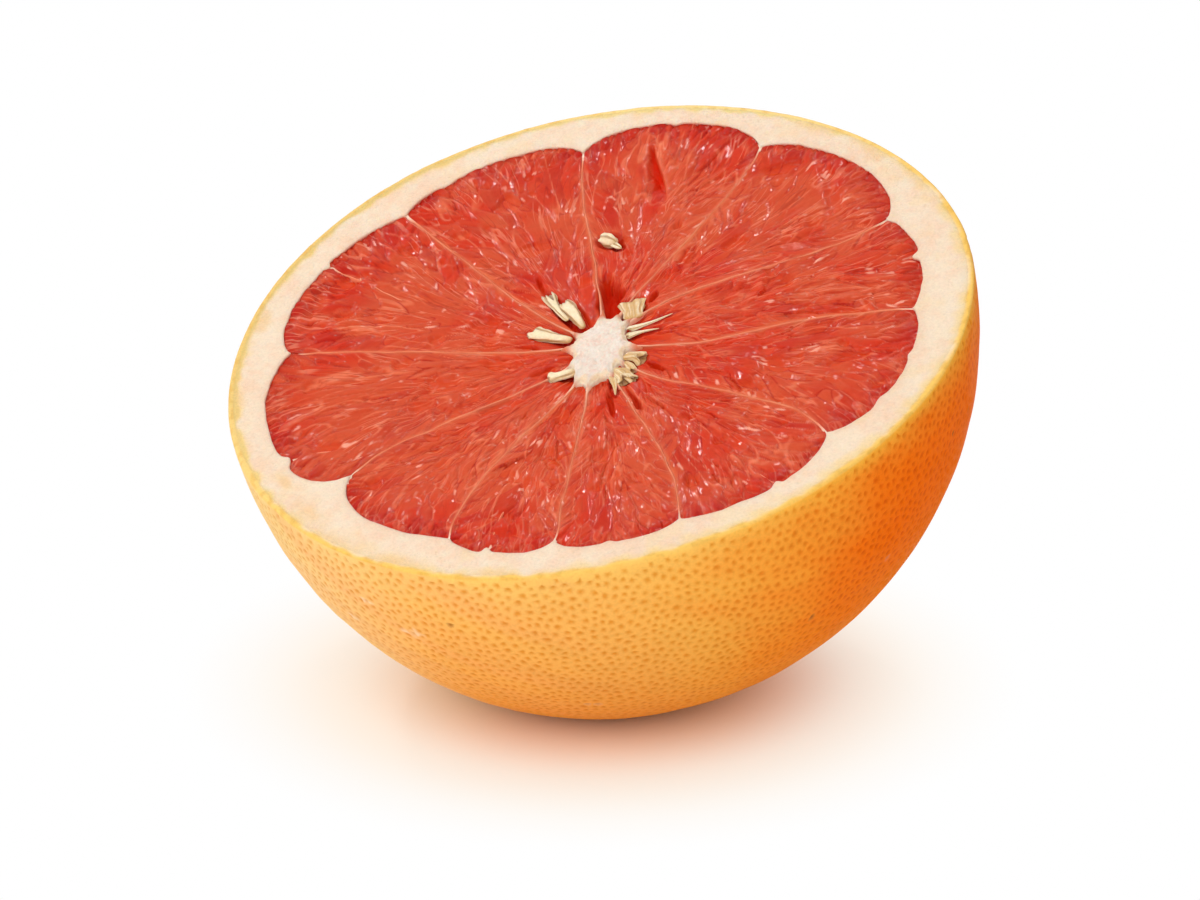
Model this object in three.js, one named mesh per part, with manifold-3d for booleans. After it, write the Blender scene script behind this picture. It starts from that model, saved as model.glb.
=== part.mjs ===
// Half of a red grapefruit, the fruit also sold as pomelo, cut across its segments.
// It rests on a small flat spot of its peel, with the cut face leaning towards -Y.
// Millimetres, +Z up. The origin is the centre of that flat spot.
//
// Peel, pith, pulp and core grew together, so the half is one solid. The undeveloped seeds round
// the core are pieces of their own, and each lies in its own pocket in the pulp.
import * as THREE from 'three';
import { mergeVertices } from 'three/addons/utils/BufferGeometryUtils.js';
import Module from 'manifold-3d';

const wasm = await Module();
wasm.setup();

const radians = THREE.MathUtils.degToRad;
const { lerp } = THREE.MathUtils;

// Driving dimensions of the half.
const FACE_RADIUS = 52; // of the cut face, out to the peel
const DOME_DEPTH = 53.5; // from the cut plane down to the blossom end
const REST_RADIUS = 13; // of the flat spot underneath
const LEAN = radians(20.5); // of the cut face, from level towards -Y
const TURN = radians(43.1); // of the fruit about its own axis
const AXIS_OFFSET = 2.3; // how far the segments' axis lies off the middle of the cut face, towards -Y

// The core in the cut face, a leaning ellipse.
const CORE = { x: -0.3, y: -2.1, long: 6.6, short: 3.7, tilt: radians(67) };

// Counter-clockwise round the cut face, one row for each membrane: its angle at the rim, halfway in and
// at the core, the radius where it meets the pith, and the outer radius of the pulp segment after it.
const MEMBRANES = [
  { rim: 13.9, half: 17.5, core: 31, notch: 43.3, pulp: 46.9 },
  { rim: 50.8, half: 49.3, core: 54, notch: 44.1, pulp: 48 },
  { rim: 83.8, half: 84.2, core: 79, notch: 43.5, pulp: 46.9 },
  { rim: 117.8, half: 120.5, core: 127, notch: 45.3, pulp: 46.8 },
  { rim: 159.5, half: 160.5, core: 168, notch: 43.8, pulp: 46.7 },
  { rim: 204.8, half: 201, core: 214, notch: 40.2, pulp: 45 },
  { rim: 233.5, half: 229.8, core: 240, notch: 44.3, pulp: 46.5 },
  { rim: 252.9, half: 252.5, core: 252.3, notch: 43.8, pulp: 46.5 },
  { rim: 275.6, half: 278.8, core: 275, notch: 44.6, pulp: 46.6 },
  { rim: 307.3, half: 309.8, core: 296, notch: 43.1, pulp: 46.1 },
  { rim: 345.2, half: 344.2, core: 332, notch: 44, pulp: 45.2 },
];

// The undeveloped seeds: where the middle of each lies on the cut face, the way its blunt end points,
// and its length, width and thickness.
const SEEDS = [
  { x: -3.75, y: 12.2, points: 112, length: 5.2, width: 2.2, thick: 1.3 },
  { x: -2.1, y: 6.9, points: 104, length: 5.4, width: 2.5, thick: 1.7 },
  { x: -5.6, y: 5.2, points: 134, length: 6.8, width: 2.6, thick: 1.8 },
  { x: 5, y: 22, points: 110, length: 4, width: 2.4, thick: 1.8 },
  { x: 5.9, y: 6.1, points: 62, length: 4.4, width: 3, thick: 2 },
  { x: 8.2, y: 1.2, points: 4, length: 5.6, width: 1.5, thick: 1.2 },
  { x: 6, y: -5.1, points: 328, length: 3.6, width: 2.8, thick: 1.8 },
  { x: 2.2, y: -10.3, points: 282, length: 4.4, width: 2.6, thick: 1.8 },
  { x: -6.6, y: -4.7, points: 196, length: 3.6, width: 2.2, thick: 1.6 },
];
const SEED_GAP = 0.3; // between a seed and its pocket
const SEED_RISE = 0.1; // of a seed's middle above the cut plane

// Relief of the cut face, as depths below the cut plane.
const PULP_DROP = 0.2; // all over the pulp
const EDGE_DROP = 0.9; // where the pulp rolls down to the pith
const EDGE_REACH = 1.2; // how far in that roll reaches
const GROOVE_DROP = 0.35; // along each membrane
const HOLLOW_DROP = 1.1; // round the core
const HOLLOW_REACH = 4;
const PITH_STEP = 0.5; // width of the step up from the pulp to the pith
const CORE_RISE = 0.3; // of the spongy core above the cut plane

// Outline of the peel.
const SCAR = { radius: 4.5, depth: 0.9 }; // the dimple at the blossom end
const LOBES = { count: 3, share: 0.006, phase: radians(40) }; // a slight three-cornered swelling

// The mesh: columns in each segment, and rings in each zone from the blossom end to the core.
const SEGMENT_COLUMNS = 10;
const DOME_RINGS = 16;
const PITH_RINGS = 2;
const PULP_RINGS = 10;
const CORE_RINGS = 3;
const COLUMNS = MEMBRANES.length * SEGMENT_COLUMNS;

const SKIN = { peel: 0xee9a3a, seed: 0xe0c48c };

// A membrane's angle at a radius, on a parabola through its three angles.
function membraneAngle({ rim, half, core }, radius) {
  const inward = 1 - radius / 45;
  const [h, c] = [0.46, 0.82]; // where halfway and the core lie on that scale
  const atHalf = (half - rim) * (inward * (inward - c)) / (h * (h - c));
  const atCore = (core - rim) * (inward * (inward - h)) / (c * (c - h));
  return radians(rim + atHalf + atCore);
}

// A column as the membrane before it and its share of the way to the next, closer near the membranes.
function columnAt(index) {
  const segment = Math.floor(index / SEGMENT_COLUMNS) % MEMBRANES.length;
  const even = (index % SEGMENT_COLUMNS) / SEGMENT_COLUMNS;
  return { segment, share: even - 0.09 * Math.sin(2 * Math.PI * even) };
}

function columnAngle({ segment, share }, radius) {
  const after = (segment + 1) % MEMBRANES.length;
  const from = membraneAngle(MEMBRANES[segment], radius);
  const to = membraneAngle(MEMBRANES[after], radius) + (after === 0 ? 2 * Math.PI : 0);
  return lerp(from, to, share);
}

// The pulp's outer radius: a segment bulges between its two notches, with round corners.
function pulpRadius({ segment, share }) {
  const { notch, pulp } = MEMBRANES[segment];
  const nextNotch = MEMBRANES[(segment + 1) % MEMBRANES.length].notch;
  const bulge = Math.sqrt(1 - Math.abs(2 * share - 1) ** 4);
  return lerp(lerp(notch, nextNotch, share), pulp, bulge);
}

// The core's radius in a direction from the face's centre, on its leaning ellipse.
function coreRadius(angle) {
  const turned = angle - CORE.tilt;
  const [dx, dy] = [Math.cos(turned) / CORE.long, Math.sin(turned) / CORE.short];
  const along = CORE.x * Math.cos(CORE.tilt) + CORE.y * Math.sin(CORE.tilt);
  const across = CORE.y * Math.cos(CORE.tilt) - CORE.x * Math.sin(CORE.tilt);
  const [cx, cy] = [along / CORE.long, across / CORE.short];
  const a = dx * dx + dy * dy;
  const b = dx * cx + dy * cy;
  return (b + Math.sqrt(b * b - a * (cx * cx + cy * cy - 1))) / a;
}

function peelRadius(angle) {
  return FACE_RADIUS * (1 + LOBES.share * Math.cos(LOBES.count * angle + LOBES.phase));
}

const onFace = (angle, radius, z) => new THREE.Vector3(radius * Math.cos(angle), radius * Math.sin(angle), z);

// Maps the face onto itself: the middle goes to the segments' axis, straight lines stay straight, and
// the rim stays round.
function offAxis({ x, y, z }) {
  const shift = AXIS_OFFSET / FACE_RADIUS;
  const spread = 1 - shift * y / FACE_RADIUS;
  return new THREE.Vector3(x * Math.sqrt(1 - shift ** 2) / spread, (y - AXIS_OFFSET) / spread, z);
}

// Rings of the dome, share 0 at the blossom end and 1 at the rim.
function domePoint(column, share) {
  const angle = columnAngle(column, FACE_RADIUS);
  const turn = share * Math.PI / 2;
  const radius = peelRadius(angle) * Math.sin(turn);
  const dimple = SCAR.depth * Math.exp(-((radius / SCAR.radius) ** 2));
  return onFace(angle, radius, dimple - DOME_DEPTH * Math.cos(turn));
}

// Rings of the pith, share 0 at the peel and 1 at the top of the step down to the pulp.
function pithPoint(column, share) {
  const angle = columnAngle(column, FACE_RADIUS);
  const pulpEdge = offAxis(onFace(angle, pulpRadius(column) + PITH_STEP, 0));
  return onFace(angle, peelRadius(angle), 0).lerp(pulpEdge, share);
}

// Rings of the pulp, share 0 at its outer edge and 1 at the core.
function pulpPoint(column, share) {
  const outer = pulpRadius(column);
  const inner = coreRadius(columnAngle(column, CORE.long));
  const radius = lerp(outer, inner, share);
  const edge = EDGE_DROP * Math.exp((radius - outer) / EDGE_REACH);
  const groove = GROOVE_DROP * Math.abs(2 * column.share - 1) ** 6;
  const hollow = HOLLOW_DROP * Math.exp(-(((radius - inner) / HOLLOW_REACH) ** 2));
  return offAxis(onFace(columnAngle(column, radius), radius, -(PULP_DROP + edge + groove + hollow)));
}

// Rings of the core, share 0 just inside its edge and 1 at the face's centre.
function corePoint(column, share) {
  const angle = columnAngle(column, CORE.long);
  const radius = coreRadius(angle) * 0.9 * (1 - share);
  return offAxis(onFace(angle, radius, CORE_RISE * (0.6 + 0.4 * share)));
}

// The list of rings from the blossom end, up the dome and in across the cut face to the centre.
function rings() {
  const list = [];
  for (let i = 0; i <= DOME_RINGS; i++) list.push((column) => domePoint(column, i / DOME_RINGS));
  for (let i = 1; i <= PITH_RINGS; i++) list.push((column) => pithPoint(column, i / PITH_RINGS));
  for (let i = 0; i <= PULP_RINGS; i++) {
    const share = i / PULP_RINGS;
    list.push((column) => pulpPoint(column, share ** 1.3)); // closer together near the outer edge
  }
  for (let i = 0; i <= CORE_RINGS; i++) list.push((column) => corePoint(column, i / CORE_RINGS));
  return list;
}

// A lathe gives the half its closed skin of rings and columns, and each vertex then moves to its place.
function halfGeometry() {
  const list = rings();
  const profile = list.map((_, i) => new THREE.Vector2(0, i));
  const geometry = new THREE.LatheGeometry(profile, COLUMNS);
  const { position } = geometry.attributes;
  for (let i = 0; i <= COLUMNS; i++) {
    const column = columnAt(i % COLUMNS);
    list.forEach((place, j) => {
      const { x, y, z } = place(column);
      position.setXYZ(i * list.length + j, x, y, z);
    });
  }
  return geometry;
}

// A closed geometry as a manifold-3d solid.
function solidOf(geometry) {
  const bare = geometry.clone();
  bare.deleteAttribute('normal');
  bare.deleteAttribute('uv');
  const merged = mergeVertices(bare, 1e-4);
  const mesh = new wasm.Mesh({
    numProp: 3,
    vertProperties: merged.attributes.position.array,
    triVerts: new Uint32Array(merged.index.array),
  });
  return new wasm.Manifold(mesh);
}

function geometryOf(solid) {
  const mesh = solid.getMesh();
  const geometry = new THREE.BufferGeometry();
  geometry.setAttribute('position', new THREE.BufferAttribute(mesh.vertProperties, 3));
  geometry.setIndex(new THREE.BufferAttribute(mesh.triVerts, 1));
  geometry.computeVertexNormals();
  return geometry;
}

// A seed: a flattened drop with its blunt end towards +X, grown by a margin all round for its pocket.
function seedGeometry({ length, width, thick }, margin = 0) {
  const profile = [];
  const steps = 8;
  for (let i = 0; i <= steps; i++) {
    const turn = i / steps * Math.PI;
    const waist = 0.72 + 0.28 * Math.cos(turn); // the far end is the slimmer one
    profile.push(new THREE.Vector2(0.5 * Math.sin(turn) * waist, -0.5 * Math.cos(turn)));
  }
  profile[0].x = 0;
  profile[steps].x = 0;
  const geometry = new THREE.LatheGeometry(profile, 12);
  geometry.rotateZ(Math.PI / 2);
  return geometry.scale(length + 2 * margin, width + 2 * margin, thick + 2 * margin);
}

// The posture: turned about its own axis, leaned forward, and set down on the flat spot.
function posture() {
  const depth = Math.hypot(FACE_RADIUS * Math.sin(LEAN), DOME_DEPTH * Math.cos(LEAN));
  const centreHeight = depth * Math.sqrt(1 - (REST_RADIUS / FACE_RADIUS) ** 2);
  const slope = (FACE_RADIUS ** 2 - DOME_DEPTH ** 2) * Math.sin(LEAN) * Math.cos(LEAN) / depth ** 2;
  return new THREE.Matrix4()
    .makeTranslation(0, centreHeight * slope, centreHeight)
    .multiply(new THREE.Matrix4().makeRotationX(LEAN))
    .multiply(new THREE.Matrix4().makeRotationZ(TURN));
}

function seedMeshes() {
  const material = new THREE.MeshStandardMaterial({ color: SKIN.seed, roughness: 0.6 });
  return SEEDS.map((seed, i) => {
    const mesh = new THREE.Mesh(seedGeometry(seed), material.clone());
    mesh.name = `seed_${i + 1}`;
    mesh.position.copy(offAxis({ ...seed, z: SEED_RISE }));
    mesh.rotation.z = radians(seed.points);
    mesh.updateMatrix();
    return mesh;
  });
}

function halfMesh(leaning, seeds) {
  let solid = solidOf(halfGeometry());
  seeds.forEach((mesh, i) => {
    const pocket = seedGeometry(SEEDS[i], SEED_GAP).applyMatrix4(mesh.matrix);
    solid = solid.subtract(solidOf(pocket));
  });
  const standing = solidOf(geometryOf(solid).applyMatrix4(leaning));
  const ground = new THREE.BoxGeometry(4 * FACE_RADIUS, 4 * FACE_RADIUS, FACE_RADIUS);
  ground.translate(0, 0, -FACE_RADIUS / 2);
  const material = new THREE.MeshStandardMaterial({ color: SKIN.peel, roughness: 0.45 });
  const mesh = new THREE.Mesh(geometryOf(standing.subtract(solidOf(ground))), material);
  mesh.name = 'fruit_half';
  return mesh;
}

function pomeloHalf() {
  const leaning = posture();
  const seeds = seedMeshes();
  const onCutFace = new THREE.Group();
  leaning.decompose(onCutFace.position, onCutFace.quaternion, onCutFace.scale);
  onCutFace.add(...seeds);
  const group = new THREE.Group();
  group.add(halfMesh(leaning, seeds), onCutFace);
  return group;
}

export default pomeloHalf();
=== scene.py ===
"""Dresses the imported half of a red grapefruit: peel, pith, pulp, membranes, core and seeds.

The pieces are modelled in millimetres in the fruit's own frame: the origin is the middle of the cut
face, +Z is the fruit's axis, out of the cut, and angles run counter-clockwise from +X. stood() puts their
points in the row frame, where the fruit rests on the flat spot of the peel.
"""

import functools
import math
from collections import namedtuple
from types import SimpleNamespace

import bpy
import numpy as np
from mathutils import Matrix, Vector
from mathutils.geometry import delaunay_2d_cdt

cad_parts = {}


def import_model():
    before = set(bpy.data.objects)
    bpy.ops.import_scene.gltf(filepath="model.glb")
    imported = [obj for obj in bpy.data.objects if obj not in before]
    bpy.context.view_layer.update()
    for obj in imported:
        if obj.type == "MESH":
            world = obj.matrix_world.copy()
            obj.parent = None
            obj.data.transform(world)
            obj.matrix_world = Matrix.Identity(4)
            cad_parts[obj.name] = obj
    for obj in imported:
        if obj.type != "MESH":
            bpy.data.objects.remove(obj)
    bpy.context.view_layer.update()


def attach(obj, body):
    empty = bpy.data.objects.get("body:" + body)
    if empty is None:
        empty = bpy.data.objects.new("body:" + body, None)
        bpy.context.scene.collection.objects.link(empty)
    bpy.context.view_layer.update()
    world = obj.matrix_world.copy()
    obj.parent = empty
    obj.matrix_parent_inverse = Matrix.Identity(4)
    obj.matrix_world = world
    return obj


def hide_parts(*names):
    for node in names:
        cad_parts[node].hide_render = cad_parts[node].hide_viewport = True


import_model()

MM = 0.001

# The half, as its solid has it.
FACE_RADIUS = 52
DOME_DEPTH = 53.5
REST_RADIUS = 13
LEAN = math.radians(20.5)
TURN = math.radians(43.1)
LOBES = {"count": 3, "share": 0.006, "phase": math.radians(40)}
SCAR = {"radius": 4.5, "depth": 0.9}
CORE = {"x": -0.3, "y": -2.1, "long": 6.2, "short": 3.0, "tilt": math.radians(67)}
AXIS_OFFSET = 2.3  # how far the segments' axis lies off the middle of the cut face, towards -Y

# Counter-clockwise, a row for each membrane: its angle at the rim, halfway in and at the core, the
# radius where it meets the pith, and the outer radius of the pulp segment after it.
MEMBRANES = np.array([
    (13.9, 17.5, 31, 43.3, 46.9),
    (50.8, 49.3, 54, 44.1, 48),
    (83.8, 84.2, 79, 43.5, 46.9),
    (117.8, 120.5, 127, 44.8, 46.8),
    (159.5, 160.5, 168, 43.8, 46.7),
    (204.8, 201, 214, 40.2, 45),
    (233.5, 229.8, 240, 44.3, 46.5),
    (252.9, 252.5, 252.3, 43.8, 46.5),
    (275.6, 278.8, 275, 44.6, 46.6),
    (307.3, 309.8, 296, 43.1, 46.1),
    (345.2, 344.2, 332, 44, 45.2),
])
SEGMENTS = len(MEMBRANES)
ARMS = (3.2, 2.6, 4.0, 2.4, 3.4, 2.6, 3.2, 2.6, 3.4, 2.4, 3.2)  # how far the core runs out along each

# Small dents in the pulp's outer edge: angle, depth and half width.
DENTS = [
    (0.5, 1.0, 0.7), (68, 0.5, 0.8), (108, 0.35, 1.2), (135, 0.6, 0.6), (190, 1.0, 1.2),
    (241, 1.0, 0.6), (263, 0.5, 0.8), (294, 0.8, 0.7), (320, 0.5, 1.2), (332, 0.4, 0.9),
]

# Folds of pith that run into a segment from a dent: outer and inner radius, and the angle at each.
FOLDS = [(47, 25, 134.6, 140.5), (45.2, 39, 190, 191.5), (45.5, 34, 241.2, 239.5), (46.5, 40, 294, 292.5),
         (45.3, 41, 0.5, 2)]

# The husks of the undeveloped seeds. For each: the seed it belongs to, its middle, the way its open end
# points, its length, its widths at the closed end, the middle and the open end, its thickness, how many
# ribs it has, how deep they are, how far it bends aside, and how far its mouth is slit.
Husk = namedtuple("Husk", "seed x y points_to length closed middle opened thick ribs ridge bend slit")
HUSKS = [Husk(*row) for row in (
    (1, -4.15, 10.4, 103, 7.4, 0.6, 0.9, 2.2, 0.9, 3, 0.22, 0.25, 2.4),
    (2, -2.35, 7.6, 104, 6.8, 0.9, 2.0, 2.1, 1.6, 3, 0.12, -0.1, 0.5),
    (3, -6.0, 4.3, 141, 6.6, 1.1, 1.6, 2.9, 1.7, 3, 0.14, 0.25, 0),
    (4, 4.9, 22.4, 128, 2.9, 1.7, 2.2, 2.0, 1.7, 4, 0.12, 0.1, 0),
    (4, 5.8, 20.7, 120, 1.8, 0.5, 0.9, 1.1, 0.7, 3, 0.14, 0.1, 0),
    (5, 5.6, 5.5, 84, 4.0, 2.4, 2.9, 3.7, 1.2, 9, 0.20, 0.0, 0.5),
    (6, 7.6, 1.9, 188, 6.6, 0.15, 0.6, 1.4, 0.5, 3, 0.16, 0.3, 0),
    (6, 6.2, -0.2, 178, 4.6, 0.15, 0.5, 1.3, 0.5, 3, 0.16, -0.2, 0),
    (7, 4.1, -5.2, 325, 3.2, 1.3, 2.0, 2.7, 1.1, 5, 0.28, 0.4, 1.3),
    (7, 3.1, -6.9, 285, 2.8, 0.7, 1.1, 1.5, 0.9, 3, 0.25, 0.2, 0.6),
    (8, 1.6, -8.3, 292, 4.0, 1.1, 1.8, 2.3, 1.1, 5, 0.28, 0.4, 1.5),
    (8, 0.5, -10.2, 86, 4.6, 0.15, 0.6, 1.6, 0.8, 3, 0.15, -0.1, 0),
    (8, 2.5, -9.0, 308, 3.0, 0.7, 1.1, 1.7, 0.9, 4, 0.25, 0.2, 0.8),
    (9, -6.0, -4.9, 176, 3.8, 1.4, 1.5, 2.6, 1.4, 3, 0.16, 0.15, 0),
)]

DRIED = (5, 7, 8)  # the seeds whose husks are darker

# Dark hollows between the vesicles: the middle, the direction, half the length and width, and the depth.
HOLLOWS = [
    (2.8, 9.2, 83, 4.2, 1.6, 1.9), (4.6, 9.6, 75, 1.3, 0.4, 0.8), (8.9, 7.2, 50, 1.3, 0.5, 0.8),
    (6.6, -8.3, 305, 1.8, 0.45, 0.8), (-5.7, 16.4, 95, 2.2, 0.35, 0.6), (-9.6, 3.2, 150, 1.6, 0.4, 0.7),
    (-0.6, -14.5, 268, 2.6, 0.35, 0.8), (2.6, -14, 280, 3.0, 0.4, 0.9), (5.6, -17, 296, 2.4, 0.3, 0.6),
    (9.4, -1.6, 352, 1.4, 0.35, 0.6), (-8.2, -2.6, 195, 1.6, 0.4, 0.6),
]

# Yellow stains in the pith: angle, distance from the peel, size.
STAINS = [(207, 2.4, 1.5), (196, 3.2, 0.8), (216, 0.6, 1.8), (228, 0.3, 1.6), (30, 0.5, 1.5), (17, 0.4, 1.1),
          (42, 0.3, 1.2), (172, 1.2, 1.0), (152, 1.4, 0.9), (246, 0.2, 1.0)]

# Pale scuffs on the peel: angle, height from the cut, size.
SCUFFS = [(228, -13, 0.7), (222, -8.5, 0.5), (214, -15, 0.5), (252, -30, 0.4), (310, -22, 0.4)]

# A narrow gap in one segment, along its y.
SLIT = {"segment": 1, "x": 14.0, "from": 26.5, "to": 41.5, "wide": 2.3}

PEEL_THICK = 0.8  # of the coloured layer
GLAND_SPACING = 1.08  # the least between oil glands in the peel
WALL = 0.17  # half the thickness of a membrane
PULP_DEPTH = 45  # of the pulp under the cut, on the axis
PULP_BOWL = 47.5  # the radius of the bowl that the pulp fills
STEP = 0.195  # between vertices of the pulp
RIM_RADIUS = 45.5  # about where the pulp ends
MIDDLE_RADIUS = 31.0  # about halfway out in the pulp
INNER_RADIUS = 6.0  # about where the core ends


def posture():
    """The fruit's frame in the row frame: turned about its axis, leaned, and set down on its flat spot."""
    depth = math.hypot(FACE_RADIUS * math.sin(LEAN), DOME_DEPTH * math.cos(LEAN))
    height = depth * math.sqrt(1 - (REST_RADIUS / FACE_RADIUS) ** 2)
    slope = (FACE_RADIUS**2 - DOME_DEPTH**2) * math.sin(LEAN) * math.cos(LEAN) / depth**2
    place = Matrix.Translation(Vector((0, height * slope, height)) * MM)
    return place @ Matrix.Rotation(LEAN, 4, "X") @ Matrix.Rotation(TURN, 4, "Z")


POSTURE = np.array(posture())


def stood(points):
    """Points of the fruit's frame, in millimetres, as points of the row frame, in metres."""
    return points * MM @ POSTURE[:3, :3].T + POSTURE[:3, 3]


def unstood(points):
    """Points of the row frame back in the fruit's frame."""
    return (points - POSTURE[:3, 3]) @ POSTURE[:3, :3] / MM


# Numbers and noise.

def smoothstep(low, high, value):
    share = np.clip((value - low) / (high - low), 0, 1)
    return share * share * (3 - 2 * share)


def bump(distance, width):
    return np.exp(-((distance / width) ** 2))


@functools.lru_cache(maxsize=None)
def noise_table(seed):
    return np.random.default_rng(seed).random((256, 256))


def lattice_noise(x, y, seed):
    """Smooth noise from 0 to 1 over the plane, with features one unit across."""
    table = noise_table(seed)
    ix, iy = np.floor(x).astype(int), np.floor(y).astype(int)
    fx, fy = x - ix, y - iy
    fx, fy = fx * fx * (3 - 2 * fx), fy * fy * (3 - 2 * fy)
    x0, x1, y0, y1 = ix & 255, (ix + 1) & 255, iy & 255, (iy + 1) & 255
    low = table[x0, y0] * (1 - fx) + table[x1, y0] * fx
    high = table[x0, y1] * (1 - fx) + table[x1, y1] * fx
    return low * (1 - fy) + high * fy


def layered_noise(x, y, seed, layers=3):
    total, weight = 0, 0
    for i in range(layers):
        total = total + lattice_noise(x * 2**i + 17 * i, y * 2**i + 5 * i, seed + i) / 2**i
        weight += 1 / 2**i
    return total / weight


def wave(along, row, seed, layers=2):
    """Layered noise along a line; each row is another line."""
    return layered_noise(along, 0 * along + row, seed, layers)


def cloud(x, y, size, seed, layers=2):
    """Layered noise over the plane, with features of a size."""
    return layered_noise(x / size, y / size, seed, layers)


def turned_from(angle, at):
    """The turn between two angles, at most half a turn either way."""
    return (angle - at + math.pi) % (2 * math.pi) - math.pi


def along_and_across(x, y, heading):
    """How far places are along a heading, in radians, and to the left of it."""
    cos, sin = np.cos(heading), np.sin(heading)
    return x * cos + y * sin, y * cos - x * sin


def tinted(base, other, share):
    """Colour rows from base to other; either may be one colour or one for each vertex."""
    share = np.atleast_1d(share)[:, None]
    return np.asarray(base) * (1 - share) + np.asarray(other) * share


def painted(base, *washes):
    """A base colour under washes of other colours, each given with its strength."""
    for colour, strength in washes:
        base = tinted(base, colour, strength)
    return base


# The outlines on the cut face.

def membrane_angle(index, radius):
    """A membrane's angle at a radius, on a parabola through its three angles."""
    rim, half, core = MEMBRANES[index % SEGMENTS, :3]
    inward = 1 - radius / 45
    at_half, at_core = 0.46, 0.82  # how far inward the second and the third angle are
    bent = rim + (half - rim) * inward * (inward - at_core) / (at_half * (at_half - at_core))
    bent = bent + (core - rim) * inward * (inward - at_half) / (at_core * (at_core - at_half))
    sway = wave(radius / 7, index * 9.7, 31) - 0.5
    wander = 0.9 * sway * smoothstep(5, 14, radius) * smoothstep(47, 40, radius)  # millimetres
    turns = 360 * (index // SEGMENTS)
    return np.radians(bent + turns) + wander / np.maximum(radius, 4)


def between(index, share, radius):
    """The angle at a share of the way from a segment's first membrane to its second, at a radius."""
    return membrane_angle(index, radius) * (1 - share) + membrane_angle(index + 1, radius) * share


def peel_radius(angle):
    return FACE_RADIUS * (1 + LOBES["share"] * np.cos(LOBES["count"] * angle + LOBES["phase"]))


def pulp_radius(index, share, angle):
    """The pulp's outer radius: a segment bulges between its two notches, with round corners."""
    notch, pulp = MEMBRANES[index, 3:]
    bulge = np.clip(1 - np.abs(2 * share - 1) ** 3.0, 0, 1) ** 0.74
    start = notch * (1 - share) + MEMBRANES[(index + 1) % SEGMENTS, 3] * share
    radius = start * (1 - bulge) + pulp * bulge
    for at, depth, width in DENTS:
        radius = radius - depth * bump(turned_from(angle, math.radians(at)) * radius, width)
    return radius + 0.9 * (wave(angle * 9, 3.3, 57, 3) - 0.5) * bulge


def off_axis(points):
    """Maps the face onto itself: its middle goes to the segments' axis, and its rim stays round."""
    shift = AXIS_OFFSET / FACE_RADIUS
    x, y, z = np.moveaxis(points, -1, 0)
    spread = 1 - shift * y / FACE_RADIUS
    return np.stack([x * math.sqrt(1 - shift**2) / spread, (y - AXIS_OFFSET) / spread, z], -1)


def core_ellipse(angle):
    """The core's radius in a direction from the face's centre, on its leaning ellipse."""
    turned = angle - CORE["tilt"]
    dx, dy = np.cos(turned) / CORE["long"], np.sin(turned) / CORE["short"]
    cx, cy = along_and_across(CORE["x"], CORE["y"], CORE["tilt"])
    cx, cy = cx / CORE["long"], cy / CORE["short"]
    a = dx * dx + dy * dy
    b = dx * cx + dy * cy
    return (b + np.sqrt(b * b - a * (cx * cx + cy * cy - 1))) / a


def core_radius(angle):
    """The core's ragged outline, webbed out along each membrane."""
    ellipse = core_ellipse(angle)
    radius = ellipse + 0.7 * (wave(angle * 6, 0, 83, 3) - 0.5)
    for index, length in enumerate(ARMS):
        away = np.abs(turned_from(angle, membrane_angle(index, ellipse + 1))) * ellipse
        radius = radius + length * (0.75 * np.exp(-away / 0.30) + 0.25 * np.exp(-away / 1.1))
    return radius


def depth_under(radius):
    """How far the pulp goes down under the cut at a radius."""
    return PULP_DEPTH * np.sqrt(np.clip(1 - (radius / PULP_BOWL) ** 2, 0.01, 1))


# Meshes.

def ring_faces(upper, lower):
    """Quads between two closed rings of as many vertices."""
    return np.stack([upper, lower, np.roll(lower, -1), np.roll(upper, -1)], 1)


def bridge(fine, coarse):
    """Triangles between two closed rings of different numbers of vertices."""
    faces = []
    many, few = len(fine), len(coarse)
    for i in range(many):
        here, following = i * few // many, (i + 1) * few // many
        faces.append((fine[i], coarse[here % few], fine[(i + 1) % many]))
        if following != here:
            faces.append((fine[(i + 1) % many], coarse[here % few], coarse[following % few]))
    return np.array(faces)


def fan(ring, tip):
    return np.stack([ring, np.full(len(ring), tip), np.roll(ring, -1)], 1)


def band(first, second):
    """Faces between two closed rings, of the same or different numbers of vertices."""
    if len(first) == len(second):
        return ring_faces(first, second)
    if len(first) > len(second):
        return bridge(first, second)
    return bridge(second, first)[:, ::-1]


def stacked(rings):
    """Faces between each of the rings and the next."""
    return [band(first, second) for first, second in zip(rings[:-1], rings[1:])]


def capped(first_tip, rings, last_tip):
    """Faces of a closed body: a stack of rings with a tip at each end."""
    return [fan(rings[0], first_tip)[:, ::-1], *stacked(rings), fan(rings[-1], last_tip)]


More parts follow.
